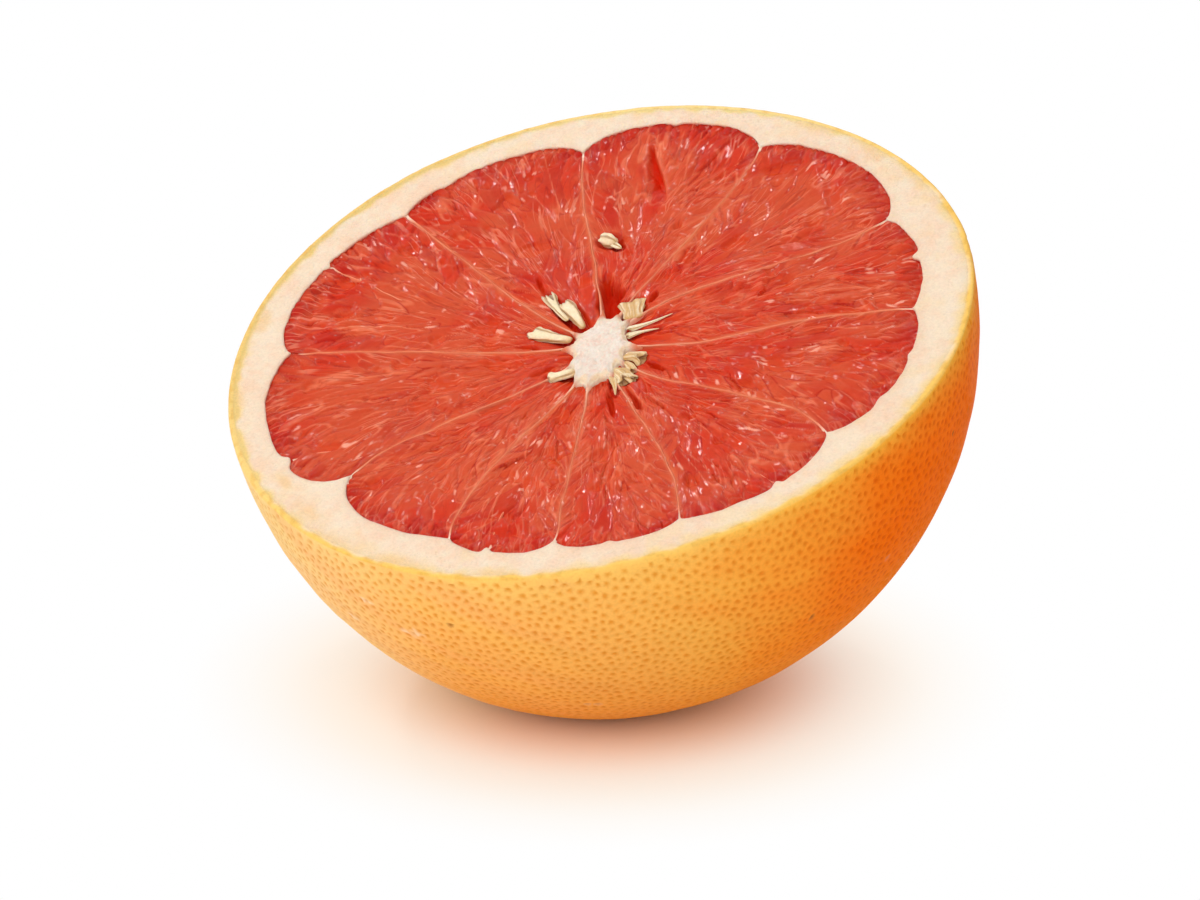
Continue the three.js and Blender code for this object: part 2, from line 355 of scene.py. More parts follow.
class Shell:
    """A mesh in the making: its points in millimetres and their colours."""

    def __init__(self):
        self.points, self.colours, self.count = [], [], 0

    def add(self, points, colour):
        """Adds points, of one colour or of one each, and returns their numbers."""
        points = np.atleast_2d(points)
        self.points.append(points)
        self.colours.append(np.broadcast_to(colour, points.shape))
        self.count += len(points)
        return np.arange(self.count - len(points), self.count)

    def piece(self, name, faces, moved, **attributes):
        """A smooth mesh object of these points, moved by a function and then stood in the row frame."""
        mesh = bpy.data.meshes.new(name)
        points = stood(moved(np.concatenate(self.points)))
        counts = np.concatenate([np.full(len(rows), rows.shape[1]) for rows in faces])
        corners = np.concatenate([rows.ravel() for rows in faces])
        starts = np.concatenate([[0], np.cumsum(counts)[:-1]])
        mesh.vertices.add(len(points))
        mesh.vertices.foreach_set("co", points.astype(np.float32).ravel())
        mesh.loops.add(len(corners))
        mesh.loops.foreach_set("vertex_index", corners.astype(np.int32))
        mesh.polygons.add(len(counts))
        mesh.polygons.foreach_set("loop_start", starts.astype(np.int32))
        mesh.update(calc_edges=True)
        mesh.shade_smooth()
        tint = mesh.color_attributes.new(name="tint", type="FLOAT_COLOR", domain="POINT")
        rows = np.ones((len(points), 4), dtype=np.float32)
        rows[:, :3] = np.concatenate(self.colours)
        tint.data.foreach_set("color", rows.ravel())
        for key, values in attributes.items():
            kind, field = ("FLOAT", "value") if values.ndim == 1 else ("FLOAT_VECTOR", "vector")
            layer = mesh.attributes.new(name=key, type=kind, domain="POINT")
            layer.data.foreach_set(field, values.astype(np.float32).ravel())
        piece = bpy.data.objects.new(name, mesh)
        bpy.context.scene.collection.objects.link(piece)
        return piece


def dress(piece, material, slot, *nodes):
    piece.data.materials.append(material)
    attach(piece, "root")
    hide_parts(*nodes)
    return piece


def xyz(radius, angle, z):
    radius, angle, z = np.broadcast_arrays(radius, angle, z)
    return np.stack([radius * np.cos(angle), radius * np.sin(angle), z], -1)


# Materials.

def shader(name, roughness, subsurface, reach, ior, level, coat=0.0, coat_roughness=0.2):
    """A material whose colour is the vertex colour tint. Returns it, its tree, Principled and colour node."""
    material = bpy.data.materials.new(name)
    material.use_nodes = True
    tree = material.node_tree
    principled = tree.nodes["Principled BSDF"]
    settings = {
        "Roughness": roughness, "IOR": ior, "Specular IOR Level": level,
        "Subsurface Weight": subsurface, "Subsurface Radius": reach, "Subsurface Scale": MM,
        "Coat Weight": coat, "Coat Roughness": coat_roughness, "Coat IOR": ior,
    }
    for name, value in settings.items():
        principled.inputs[name].default_value = value
    tint = tree.nodes.new("ShaderNodeVertexColor")
    tint.layer_name = "tint"
    tree.links.new(tint.outputs["Color"], principled.inputs["Base Color"])
    return material, tree, principled, tint


def feed(tree, socket, value):
    """Gives a socket a value, or links it to another node's output."""
    if isinstance(value, bpy.types.NodeSocket):
        tree.links.new(value, socket)
    else:
        socket.default_value = value


def node(tree, kind, **inputs):
    made = tree.nodes.new(kind)
    for name, value in inputs.items():
        feed(tree, made.inputs[name.replace("_", " ")], value)
    return made


def math_node(tree, operation, *values):
    made = tree.nodes.new("ShaderNodeMath")
    made.operation = operation
    for socket, value in zip(made.inputs, values):
        feed(tree, socket, value)
    return made.outputs[0]


def vector_node(tree, operation, *values):
    made = tree.nodes.new("ShaderNodeVectorMath")
    made.operation = operation
    for socket, value in zip(made.inputs, values):
        feed(tree, socket, value)
    return made


def scaled(tree, vector, factor):
    """A vector or a colour times a number."""
    made = vector_node(tree, "SCALE", vector)
    feed(tree, made.inputs["Scale"], factor)
    return made.outputs["Vector"]


def mixed_colour(tree, blend, share, *colours):
    """Two colours mixed, each a socket or three numbers."""
    made = tree.nodes.new("ShaderNodeMix")
    made.data_type = "RGBA"
    made.blend_type = blend
    feed(tree, made.inputs[0], share)
    for socket, colour in zip(made.inputs[6:8], colours):
        feed(tree, socket, colour if isinstance(colour, bpy.types.NodeSocket) else (*colour, 1))
    return made.outputs[2]


def bumped(tree, principled, height, distance):
    made = node(tree, "ShaderNodeBump", Strength=1.0, Distance=distance * MM, Height=height)
    for name in ("Normal", "Coat Normal"):
        feed(tree, principled.inputs[name], made.outputs["Normal"])


def millimetres(tree):
    """Object coordinates in millimetres."""
    return scaled(tree, tree.nodes.new("ShaderNodeTexCoord").outputs["Object"], 1 / MM)


def attribute(tree, name):
    made = tree.nodes.new("ShaderNodeAttribute")
    made.attribute_name = name
    return made


def stepped(tree, value, low, high):
    """0 at low, 1 at high, smooth between; low may be the greater."""
    made = node(tree, "ShaderNodeMapRange", Value=value, From_Min=low, From_Max=high)
    made.interpolation_type = "SMOOTHSTEP"
    return made.outputs["Result"]


def noise_node(tree, place, scale, detail, roughness):
    made = node(tree, "ShaderNodeTexNoise", Vector=place, Scale=scale, Detail=detail, Roughness=roughness)
    return made.outputs["Fac"]


def stretched_noise(tree, place, size, offset):
    """Noise whose features are size across, one number for each axis."""
    spread = vector_node(tree, "MULTIPLY_ADD", place, [1 / length for length in size], (offset,) * 3)
    return noise_node(tree, spread.outputs["Vector"], 1.0, 1.0, 0.5)


def strands(tree, flow, covered, along, across, width, offset):
    """1 on thin lines that run with the flow and come and go, where the pulp is covered."""
    noise = stretched_noise(tree, flow, (along, across, 1), offset)
    away = math_node(tree, "ABSOLUTE", math_node(tree, "SUBTRACT", noise, 0.5))
    shown = stepped(tree, stretched_noise(tree, flow, (7, 3.5, 1), offset + 9), 0.50, 0.60)
    shown = math_node(tree, "MULTIPLY", shown, covered)
    return math_node(tree, "MULTIPLY", stepped(tree, away, width, 0.2 * width), shown)


def grained(name, scale, contrast, relief, **settings):
    """A tinted material with a fine grain in its colour and its relief; the settings are the shader's."""
    material, tree, principled, tint = shader(name, **settings)
    grain = noise_node(tree, millimetres(tree), scale, 4.0, 0.6)
    varied = math_node(tree, "MULTIPLY", grain, 2 * contrast)
    shade = math_node(tree, "ADD", varied, 1 - contrast)
    feed(tree, principled.inputs["Base Color"], scaled(tree, tint.outputs["Color"], shade))
    bumped(tree, principled, grain, relief)
    return material


def pulp_material():
    """Wet pulp, with the walls of its juice sacs as fine pale and dark strands along the attribute flow."""
    wet = 0.39
    material, tree, principled, tint = shader("pulp", roughness=0.5, subsurface=0.35, reach=(1.4, 0.3, 0.2),
                                              ior=1.34, level=0.0, coat=wet, coat_roughness=0.05)
    flow = attribute(tree, "flow").outputs["Vector"]
    grain = stretched_noise(tree, millimetres(tree), (0.67, 0.67, 0.67), 0)
    bare = attribute(tree, "bare").outputs["Fac"]
    covered = stepped(tree, bare, 0.5, 0.0)
    pale = strands(tree, flow, covered, along=11, across=0.9, width=0.035, offset=0)
    dark = strands(tree, flow, covered, along=9, across=1.2, width=0.03, offset=100)
    shade = math_node(tree, "ADD", math_node(tree, "MULTIPLY", grain, 0.16), 0.92)
    colour = scaled(tree, tint.outputs["Color"], shade)
    colour = mixed_colour(tree, "MULTIPLY", math_node(tree, "MULTIPLY", dark, 0.38), colour, STRAND_SHADE)
    light = math_node(tree, "MULTIPLY", pale, 0.36)
    feed(tree, principled.inputs["Base Color"], mixed_colour(tree, "MIX", light, colour, STRAND))
    height = math_node(tree, "MULTIPLY", grain, 0.035)
    height = math_node(tree, "ADD", height, math_node(tree, "MULTIPLY", pale, 0.006))
    height = math_node(tree, "SUBTRACT", height, math_node(tree, "MULTIPLY", dark, 0.008))
    bumped(tree, principled, height, 1.0)
    # Down in the gaps nothing bright is mirrored.
    shine = math_node(tree, "MULTIPLY", stepped(tree, bare, 1.1, 0.4), wet)
    feed(tree, principled.inputs["Coat Weight"], shine)
    return material


def pith_material():
    return grained("pith", scale=2.6, contrast=0.16, relief=0.25,
                   roughness=0.65, subsurface=0.35, reach=(1.6, 1.0, 0.6), ior=1.35, level=0.3)


def core_material():
    return grained("core", scale=2.8, contrast=0.20, relief=0.35,
                   roughness=0.6, subsurface=0.3, reach=(1.2, 0.8, 0.6), ior=1.35, level=0.4)


def membrane_material():
    return grained("membrane", scale=2.2, contrast=0.08, relief=0.04, roughness=0.45, subsurface=0.12,
                   reach=(1.0, 0.6, 0.4), ior=1.34, level=0.0, coat=0.5, coat_roughness=0.15)


def seed_material():
    return grained("seed", scale=3.0, contrast=0.24, relief=0.10, roughness=0.5, subsurface=0.25,
                   reach=(0.8, 0.5, 0.3), ior=1.4, level=0.2, coat=0.5, coat_roughness=0.15)


def peel_material():
    """Waxy skin; the attribute gland, 1 in the middle of each oil gland, darkens a round spot there."""
    material = grained("peel", scale=2.6, contrast=0.16, relief=0.05,
                       roughness=0.5, subsurface=0.10, reach=(1.2, 0.5, 0.2), ior=1.4, level=0.02)
    tree = material.node_tree
    principled = tree.nodes["Principled BSDF"]
    skin = principled.inputs["Base Color"].links[0].from_socket
    spot = stepped(tree, attribute(tree, "gland").outputs["Fac"], 0.05, 0.90)
    feed(tree, principled.inputs["Base Color"], mixed_colour(tree, "MULTIPLY", spot, skin, GLAND_SHADE))
    return material


# Linear colours.
CORAL = np.array((0.63, 0.030, 0.005))
PINK = np.array((0.63, 0.076, 0.024))
DEEP = np.array((0.44, 0.006, 0.002))
ORANGE = np.array((0.70, 0.056, 0.007))
VEIN = np.array((0.86, 0.225, 0.11))
# Pale pink for pale walls and flecks, and for painted glints.
PALE_AND_GLINT = np.array((0.92, 0.40, 0.29))
GAP_RED = np.array((0.60, 0.013, 0.002))
CREAM = np.array((0.97, 0.80, 0.63))
PEACH = np.array((0.97, 0.70, 0.52))
YELLOWED = np.array((0.98, 0.71, 0.34))
GOLD = np.array((0.97, 0.61, 0.15))
SUNNY = np.array((0.98, 0.515, 0.12))
AMBER = np.array((0.98, 0.34, 0.025))
PALE = np.array((1.0, 0.74, 0.36))
LEMON = np.array((0.97, 0.72, 0.30))
MUSTARD = np.array((0.86, 0.60, 0.21))
TAN = np.array((0.74, 0.52, 0.30))
BLUSH = np.array((0.99, 0.43, 0.165))
CHEEK_AND_BOUNCE = np.array((1.0, 0.185, 0.003))
STRAW = np.array((0.72, 0.48, 0.21))
HUSK = np.array((0.93, 0.79, 0.54))
BROWN = np.array((0.36, 0.17, 0.06))
DRY = np.array((0.66, 0.38, 0.12))
OLIVE = np.array((0.72, 0.40, 0.07))
GLAND_SHADE = (0.84, 0.62, 0.34)
STRAND = (0.98, 0.34, 0.20)
STRAND_SHADE = (0.55, 0.22, 0.2)
CORE_WHITE = (0.99, 0.87, 0.77)
CORE_PINK = (0.99, 0.73, 0.62)
CORE_EDGE = (0.97, 0.70, 0.36)


# The pulp.

def vesicle_sites(index, rng):
    """Sites of the juice vesicles of one segment: rows of x, y, direction, length, width, rise, tone."""
    tries, farthest = 1400, 47
    sites = []
    for _ in range(tries):
        radius = farthest * math.sqrt(rng.uniform(0.012, 1))
        share = rng.uniform(0, 1)
        angle = float(between(index, share, radius))
        at = np.array((radius * math.cos(angle), radius * math.sin(angle)))
        near_rim = float(smoothstep(6, 1.5, MEMBRANES[index, 4] - radius))
        size = rng.uniform(0.6, 1.5)
        length = (2.6 + 4.0 * float(smoothstep(5, 20, radius))) * size * (1 - 0.70 * near_rim)
        width = (0.6 + 0.95 * float(smoothstep(5, 28, radius))) * size**0.5 * rng.uniform(0.8, 1.25)
        width = width * (1 - 0.25 * near_rim)
        feather = (share - 0.5) * 1.1 * float(smoothstep(6, 24, radius)) + rng.normal(0, 0.17)
        heading = angle + feather * (1 - 0.4 * near_rim)
        along = np.array((math.cos(heading), math.sin(heading)))
        across = np.array((-along[1], along[0]))
        if sites:
            gap = np.array(sites)[:, :2] - at
            if ((gap @ along / length) ** 2 + (gap @ across / width) ** 2).min() < 1.0:
                continue
        sites.append((at[0], at[1], heading, length, width, rng.uniform(0, 1), rng.uniform(0, 1)))
    return np.array(sites)


def vesicles(x, y, sites):
    """For each vertex: its vesicle's row number, distance to that vesicle's border, and offset across it."""
    best, second = np.full(x.shape, -1e9), np.full(x.shape, -1e9)
    owner, lateral = np.zeros(x.shape, dtype=int), np.zeros(x.shape)
    slope, other = np.zeros(x.shape + (2,)), np.zeros(x.shape + (2,))
    for row, (sx, sy, heading, length, width, rise, _) in enumerate(sites):
        reach = 2.6 * length
        near = np.flatnonzero((np.abs(x - sx) < reach) & (np.abs(y - sy) < reach))
        along, across = along_and_across(x[near] - sx, y[near] - sy, heading)
        wide = width * (1 + 0.35 * np.clip(along / length, -1, 1))
        value = 0.5 * rise - (along / length) ** 2 - (across / wide) ** 2
        pull = along_and_across(-2 * along / length**2, -2 * across / wide**2, -heading)
        gradient = np.stack(pull, -1)
        first = value > best[near]
        runner = ~first & (value > second[near])
        won, beaten = near[first], near[runner]
        second[won], other[won] = best[won], slope[won]
        second[beaten], other[beaten] = value[runner], gradient[runner]
        best[won], slope[won], owner[won] = value[first], gradient[first], row
        lateral[won] = (across / wide)[first]
    border = (best - second) / np.maximum(np.linalg.norm(slope - other, axis=1), 0.3)
    return owner, border, lateral


def segment_grid(index):
    """Rows of a segment's top from the rim to the core, each as arrays: radius, angle, share of the way
    across, and the radii where its line starts and ends."""
    shares = np.linspace(0, 1, 145)
    rows = []
    near_core = float(core_radius(between(index, 0.5, INNER_RADIUS)))
    count = int((MEMBRANES[index, 4] - near_core) / STEP)
    for i in range(count + 1):
        depth = i / count
        middle = MEMBRANES[index, 4] * (1 - depth) + near_core * depth
        thin = 1 if middle > 23 else 2 if middle > 11.5 else 4
        share = shares[::thin]
        outer = pulp_radius(index, share, between(index, share, RIM_RADIUS))
        inner = core_radius(between(index, share, INNER_RADIUS)) - 0.25
        radius = outer * (1 - depth) + inner * depth
        margin = (WALL - 0.03) / np.maximum(radius, 3)
        low = membrane_angle(index, radius) + margin
        high = membrane_angle(index + 1, radius) - margin
        rows.append((radius, low * (1 - share) + high * share, share, outer, inner))
    return rows


def segment_top(index):
    """Vertex arrays of a segment's top, its faces, and the indices of its outline."""
    rows = segment_grid(index)
    starts = np.cumsum([0] + [len(row[0]) for row in rows])
    faces, thin_faces = [], []
    for upper, lower, a, b in zip(starts[:-2], starts[1:-1], rows[:-1], rows[1:]):
        i = np.arange(len(b[0]) - 1)
        if len(a[0]) == len(b[0]):
            faces.append(np.stack([upper + i, upper + i + 1, lower + i + 1, lower + i], 1))
        else:
            f = upper + 2 * i
            thin_faces.append(np.stack([f, f + 1, lower + i], 1))
            thin_faces.append(np.stack([f + 1, lower + i + 1, lower + i], 1))
            thin_faces.append(np.stack([f + 1, f + 2, lower + i + 1], 1))
    first, last = starts[:-1], starts[1:] - 1
    loop = list(range(starts[0], starts[1])) + list(last[1:]) \
        + list(range(starts[-1] - 2, starts[-2] - 1, -1)) + list(first[1:-1][::-1])
    columns = [np.concatenate([row[k] for row in rows]) for k in range(5)]
    return columns, [np.concatenate(faces), np.concatenate(thin_faces)], np.array(loop)


def thin_lines(x, y, seed):
    """1 on the ridges of noise over the plane."""
    return smoothstep(0.90, 0.99, 1 - np.abs(2 * layered_noise(x, y, seed, 2) - 1))


def membrane_top(index, radius):
    """The height of a membrane's top; the pulp beside it rises to it."""
    return -0.32 + 0.24 * (wave(radius / 3, index % SEGMENTS * 3, 92) - 0.5)


def pulp_places(index, radius, angle, share, outer, inner):
    """Where each vertex of a segment's top is, and how far from the rim, the core and the membranes."""
    x, y = radius * np.cos(angle), radius * np.sin(angle)
    at = SimpleNamespace(index=index, x=x, y=y, radius=radius, share=share)
    at.wide = (membrane_angle(index + 1, radius) - membrane_angle(index, radius)) * radius
    at.to_side = np.minimum(share, 1 - share) * at.wide
    at.to_core = radius - inner
    at.rim = outer - radius
    # The radial distance overstates how far the slanting corners are.
    steep = np.abs(np.gradient(outer) / np.maximum(np.abs(np.gradient(angle) * radius), 0.02))
    at.to_rim = at.rim / np.sqrt(1 + np.clip(steep, 0, 6) ** 2)
    at.rimmed = smoothstep(4.5, 0.8, at.to_rim)
    at.front = smoothstep(2, -25, y)
    return at


def add_vesicles(at):
    """The vesicle of each vertex. Returns how far the vertex is along and across that vesicle."""
    swirled = []
    for place, seed in ((at.x, 11), (at.y, 12)):
        broad = lattice_noise(at.x / 8, at.y / 8, seed)
        fine = lattice_noise(at.x / 1.8, at.y / 1.8, seed + 2)
        swirled.append(place + 2.2 * (broad - 0.5) + 0.16 * (fine - 0.5))
    sites = vesicle_sites(at.index, np.random.default_rng(700 + at.index))
    owner, at.border, at.lateral = vesicles(*swirled, sites)
    heading, at.rise, at.tone = sites[owner][:, [2, 5, 6]].T
    at.own = np.modf(at.tone * 37.7)[0]
    at.seam = bump(at.border, 0.10)
    return along_and_across(*swirled, heading)


def add_noises(at, along, across):
    """The noises along a vesicle's fibres, and those over the whole face."""
    x, y = at.x, at.y
    at.fibre = layered_noise(along / 6 + 50, across / 0.55 + 50, 21, 3)
    at.wrinkle = layered_noise(along / 2.0 + 90, across / 0.8 + 90, 22, 2)
    at.hair = thin_lines(along / 7 + 20, across / 0.9 + 70, 34)
    at.thread = thin_lines(along / 5 + 60, across / 1.1 + 30, 36)
    at.patch = cloud(x, y, 6, 23, 3)
    at.soft = cloud(x, y, 3.2, 24)
    at.crack = cloud(x, y, 2.6, 25)
    at.pit = smoothstep(0.64, 0.8, cloud(x, y, 3.6, 26)) * smoothstep(1, 3, at.to_rim)
    at.busy = np.maximum(smoothstep(0.46, 0.64, layered_noise(x / 7 + 3, y / 7, 30, 2)), at.rimmed)
    fanned = (at.share - 0.5) * 9 * (1 + 0.3 * smoothstep(20, 45, at.radius)) + 20 * at.index
    streak = thin_lines(at.radius / 9 + 7, fanned, 28) * smoothstep(0.8, 3, at.to_rim)
    at.streak = streak * smoothstep(0.35, 0.6, layered_noise(x / 5 + 31, y / 5, 29, 2))
    # Pale flecks in clusters: partly torn walls, partly painted glints.
    fleck = smoothstep(0.70, 0.82, layered_noise(along / 2.2 + 11, across / 0.6 + 13, 38, 2))
    at.fleck = fleck * smoothstep(0.60, 0.70, layered_noise(x / 3.5 + 9, y / 3.5, 40, 2))


def pulp_height(at):
    """The relief of the juice sacs."""
    pillow = 1 - np.exp(-np.maximum(at.border, 0) / 0.28)
    calm = (0.2 + 0.8 * smoothstep(0.2, 1.8, at.to_rim)) * (1 - 0.35 * smoothstep(0, 25, at.y))
    tilt = (0.35 + 0.35 * at.busy) * np.clip(at.lateral, -1.2, 1.2) * (at.own - 0.5)
    height = -0.45 + (0.08 + 0.09 * at.busy + 0.16 * at.rimmed) * pillow
    height = height + calm * ((0.1 + 0.14 * at.busy) * (at.rise - 0.5) + tilt)
    height = height + 0.05 * (at.fibre - 0.5) + 0.02 * at.hair - 0.03 * at.thread + 0.08 * at.streak
    height = height + 0.26 * (at.wrinkle - 0.5) * at.busy * (1 - at.rimmed)
    height = height + (0.25 + 0.25 * at.busy) * (at.soft - 0.5) - 0.45 * at.pit
    return height - 0.8 * bump(at.to_core, 2.2)


def pulp_colour(at):
    """The colour of the juice sacs, their fibres and their walls, with a painted sheen on the left, painted
    shade along the rim, and pale flecks that are partly torn walls and partly painted glints.
    """
    middle = bump(at.radius - MIDDLE_RADIUS, 14)
    # A broad pale patch on the left is a painted sheen.
    painted_sheen = bump(np.hypot(at.x + 27, at.y + 8), 20)
    lively = 0.25 + 0.75 * np.maximum(at.busy, np.exp(-at.to_side / 1.5))
    cells = bump(at.border, 0.17) * smoothstep(3.2, 0.9, at.to_rim) * smoothstep(0.38, 0.5, at.crack)
    wall = smoothstep(0.50, 0.75, at.crack + 0.10 * at.front)
    side_on = smoothstep(0.2, 0.7, np.abs(at.lateral)) * (1 - 0.5 * at.rimmed)
    beside = bump(at.border - 0.18, 0.14) * smoothstep(0.2, 0.5, wall) * (at.own > 0.4)
    return painted(
        CORAL,
        (PINK, smoothstep(0.33, 0.74, 0.65 * at.patch + 0.20 * (at.own + middle + painted_sheen))),
        (DEEP, 0.40 * smoothstep(0.5, 0.05, at.tone) * smoothstep(0.8, 0.35, at.patch)),
        (ORANGE, 0.35 * smoothstep(20, 8, at.radius) + 0.5 * at.pit),
        (VEIN, 0.24 * lively * smoothstep(0.52, 0.85, at.fibre)),
        (DEEP, 0.42 * lively * smoothstep(0.42, 0.15, at.fibre)),
        (VEIN, 0.35 * lively * at.hair * smoothstep(0.35, 0.6, at.patch)),
        (DEEP * (0.8, 1, 1), 0.45 * lively * at.thread * smoothstep(0.6, 0.35, at.patch)),
        (DEEP, 0.55 * at.rimmed * smoothstep(0.9, 0.2, at.tone)),
        (VEIN, 0.50 * at.streak),
        (PALE_AND_GLINT * (1, 0.75, 0.6), 0.25 * cells),
        (VEIN, 0.60 * at.seam * wall * side_on),
        (DEEP, 0.45 * beside),
        (DEEP, 0.80 * at.seam * smoothstep(0.42, 0.28, at.crack)),
        # Pale flecks: partly torn walls, partly painted glints.
        (PALE_AND_GLINT, 0.85 * at.fleck),
        # Darker red along the rim: painted shade where the pulp meets the pith.
        (DEEP, 0.50 * np.exp(-at.to_rim / 0.7) * (1 - 0.7 * at.seam * wall)))


def beside_membranes(at, height, colour):
    """The pulp rises to the membranes. Where one slants away under the cut, a strip beside it is smooth
    and brighter."""
    for side, away in enumerate((at.share * at.wide, (1 - at.share) * at.wide)):
        number = (at.index + side) % SEGMENTS
        narrower = 1.05 if (number + side) % 2 else 0.55
        reach = 1.7 * wave(at.radius / 8, 7.7 * number + 3 * side, 27) - narrower
        strip = smoothstep(0, 0.3, reach - away) * smoothstep(3, 9, at.rim)
        height = height * (1 - 0.8 * strip) - 0.35 * 0.8 * strip
        joined = np.exp(-away / 0.5) * smoothstep(0.3, 2.0, at.to_rim)
        height = height * (1 - joined) + (membrane_top(number, at.radius) - 0.04) * joined
        colour = painted(
            colour,
            (ORANGE * (1.03, 1.9, 3.5), 0.5 * strip),
            (VEIN, 0.45 * np.exp(-away / 0.25) * smoothstep(1, 4, at.rim)))
    return height, colour


def slit(at, height, colour, bare):
    """The narrow gap: steep on one side, sloping on the other, with a red trail where it runs out."""
    run = np.clip((at.y - SLIT["from"]) / (SLIT["to"] - SLIT["from"]), 0, 1)
    off = at.x - SLIT["x"] - 0.9 * (run - 0.5) - 0.35 * np.sin(5 * run)
    steep = smoothstep(0.15, -0.15, off)
    open_by = SLIT["wide"] * (1.25 - 1.05 * run)
    gap = steep * smoothstep(-open_by - 1.0 * (1 - run) - 0.2, -0.5 * open_by, off)
    gap = gap * smoothstep(0, 0.5, run) * smoothstep(1, 0.92, run)
    lip = (1 - steep) * smoothstep(0, 0.3, run) * smoothstep(1, 0.8, run)
    gone = np.clip((SLIT["from"] + 4 - at.y) / 10, 0, 1)
    trail = bump(at.x - SLIT["x"] + 0.7 + 4.6 * gone, 1.6) * smoothstep(0, 0.3, gone) * (1 - gone)
    colour = painted(
        colour,
        (GAP_RED, 0.95 * gap),
        (PINK * (1.2, 1.5, 1.7), 0.40 * lip * smoothstep(5, 0.3, off)),
        (PALE_AND_GLINT, 0.15 * lip * bump(off - 0.35, 0.22)),
        (GAP_RED, 0.75 * trail))
    return height - 0.9 * gap, colour, np.maximum(bare, np.maximum(gap, trail))


def hollows(at, height, colour, bare):
    """The hollows, with ragged edges, darker red partly as the flesh's own colour and partly as painted
    shade.
    """
    for x, y, points_to, half_length, half_width, deep in HOLLOWS:
        along, across = along_and_across(at.x - x, at.y - y, math.radians(points_to))
        ragged = 0.9 * (at.soft - 0.5) + 0.6 * (at.wrinkle - 0.5)
        near = np.hypot(along / half_length, across / half_width) + ragged
        height = height - deep * smoothstep(1.4, 0.4, near)
        # Darker red in the hollow: partly the flesh's own colour, partly painted shade.
        colour = tinted(colour, GAP_RED * (0.85, 0.8, 1), 0.45 * min(deep, 2) * smoothstep(1.6, 0.6, near))
        bare = np.maximum(bare, smoothstep(1.6, 0.8, near))
    return height, colour, bare


def pockets(at, height, colour):
    """The pockets that the seeds lie in, darkened round each seed with painted shade."""
    for husk in HUSKS:
        along, across = along_and_across(at.x - husk.x, at.y - husk.y, math.radians(husk.points_to))
        near = np.hypot(along / (0.5 * husk.length + 0.3), across / (0.5 * husk.middle + 0.35))
        height = height - 0.6 * smoothstep(1.3, 0.8, near)
        # Darker red round each seed: painted shade in its pocket.
        colour = tinted(colour, DEEP, 0.6 * smoothstep(1.5, 0.9, near))
    return height, colour


def pulp_flow(at):
    """Coordinates along and across the fibres, for the fine strands."""
    wide = MIDDLE_RADIUS * (between(at.index, 1, MIDDLE_RADIUS) - between(at.index, 0, MIDDLE_RADIUS))
    spread = (at.share - 0.5) * wide * (1.45 - 0.65 * smoothstep(8, 44, at.radius))
    bent = 1.2 * (lattice_noise(at.x / 10, at.y / 10, 15) - 0.5)
    return np.stack([at.radius, spread + bent, np.full(at.radius.shape, 7.0 * at.index)], -1)


def pulp_surface(at):
    """Height, colour, and bareness of the pulp of one segment; where it is bare, no strands show."""
    height, colour = beside_membranes(at, pulp_height(at), pulp_colour(at))
    edge = np.minimum(at.to_rim, at.to_side + 40 * smoothstep(3, 6, at.rim))
    height = height - 0.06 * np.exp(-edge / 0.5)
    bare = 0.24 * at.front
    if at.index == SLIT["segment"]:
        height, colour, bare = slit(at, height, colour, bare)
    height, colour, bare = hollows(at, height, colour, bare)
    height, colour = pockets(at, height, colour)
    return height, colour, bare


def pulp_segment(index, material):
    (radius, angle, share, outer, inner), faces, loop = segment_top(index)
    at = pulp_places(index, radius, angle, share, outer, inner)
    along, across = add_vesicles(at)
    add_noises(at, along, across)
    height, colour, bare = pulp_surface(at)
    flow = pulp_flow(at)
    shell = Shell()
    shell.add(xyz(radius, angle, height), colour)
    # Walls straight down to the dome, with few vertices where nothing shows.
    coarse = loop[np.linspace(0, len(loop), 56, endpoint=False).astype(int)]
    walls = [loop, shell.add(xyz(radius[loop], angle[loop], np.minimum(height[loop] - 1.2, -2.2)), DEEP)]
    for level in (0.2, 0.6, 1.0):
        depth = -2.6 - level * (depth_under(radius[coarse]) - 2.6).clip(0.2)
        walls.append(shell.add(xyz(radius[coarse], angle[coarse], depth), DEEP))
    middle, around = np.mean(radius[coarse]), np.mean(angle[coarse])
    tip = shell.add(xyz(middle, around, -depth_under(middle) - 0.5), DEEP)
    faces += [*stacked(walls), fan(walls[-1], tip)]
    hidden = shell.count - len(flow)
    piece = shell.piece(f"pulp_segment_{index + 1:02d}", faces, off_axis,
                        flow=np.concatenate([flow, np.zeros((hidden, 3))]),
                        bare=np.concatenate([bare, np.zeros(hidden)]))
    piece.data.set_sharp_from_angle(angle=math.radians(60))
    return dress(piece, material, "pulp", "fruit_half")


# The pith.

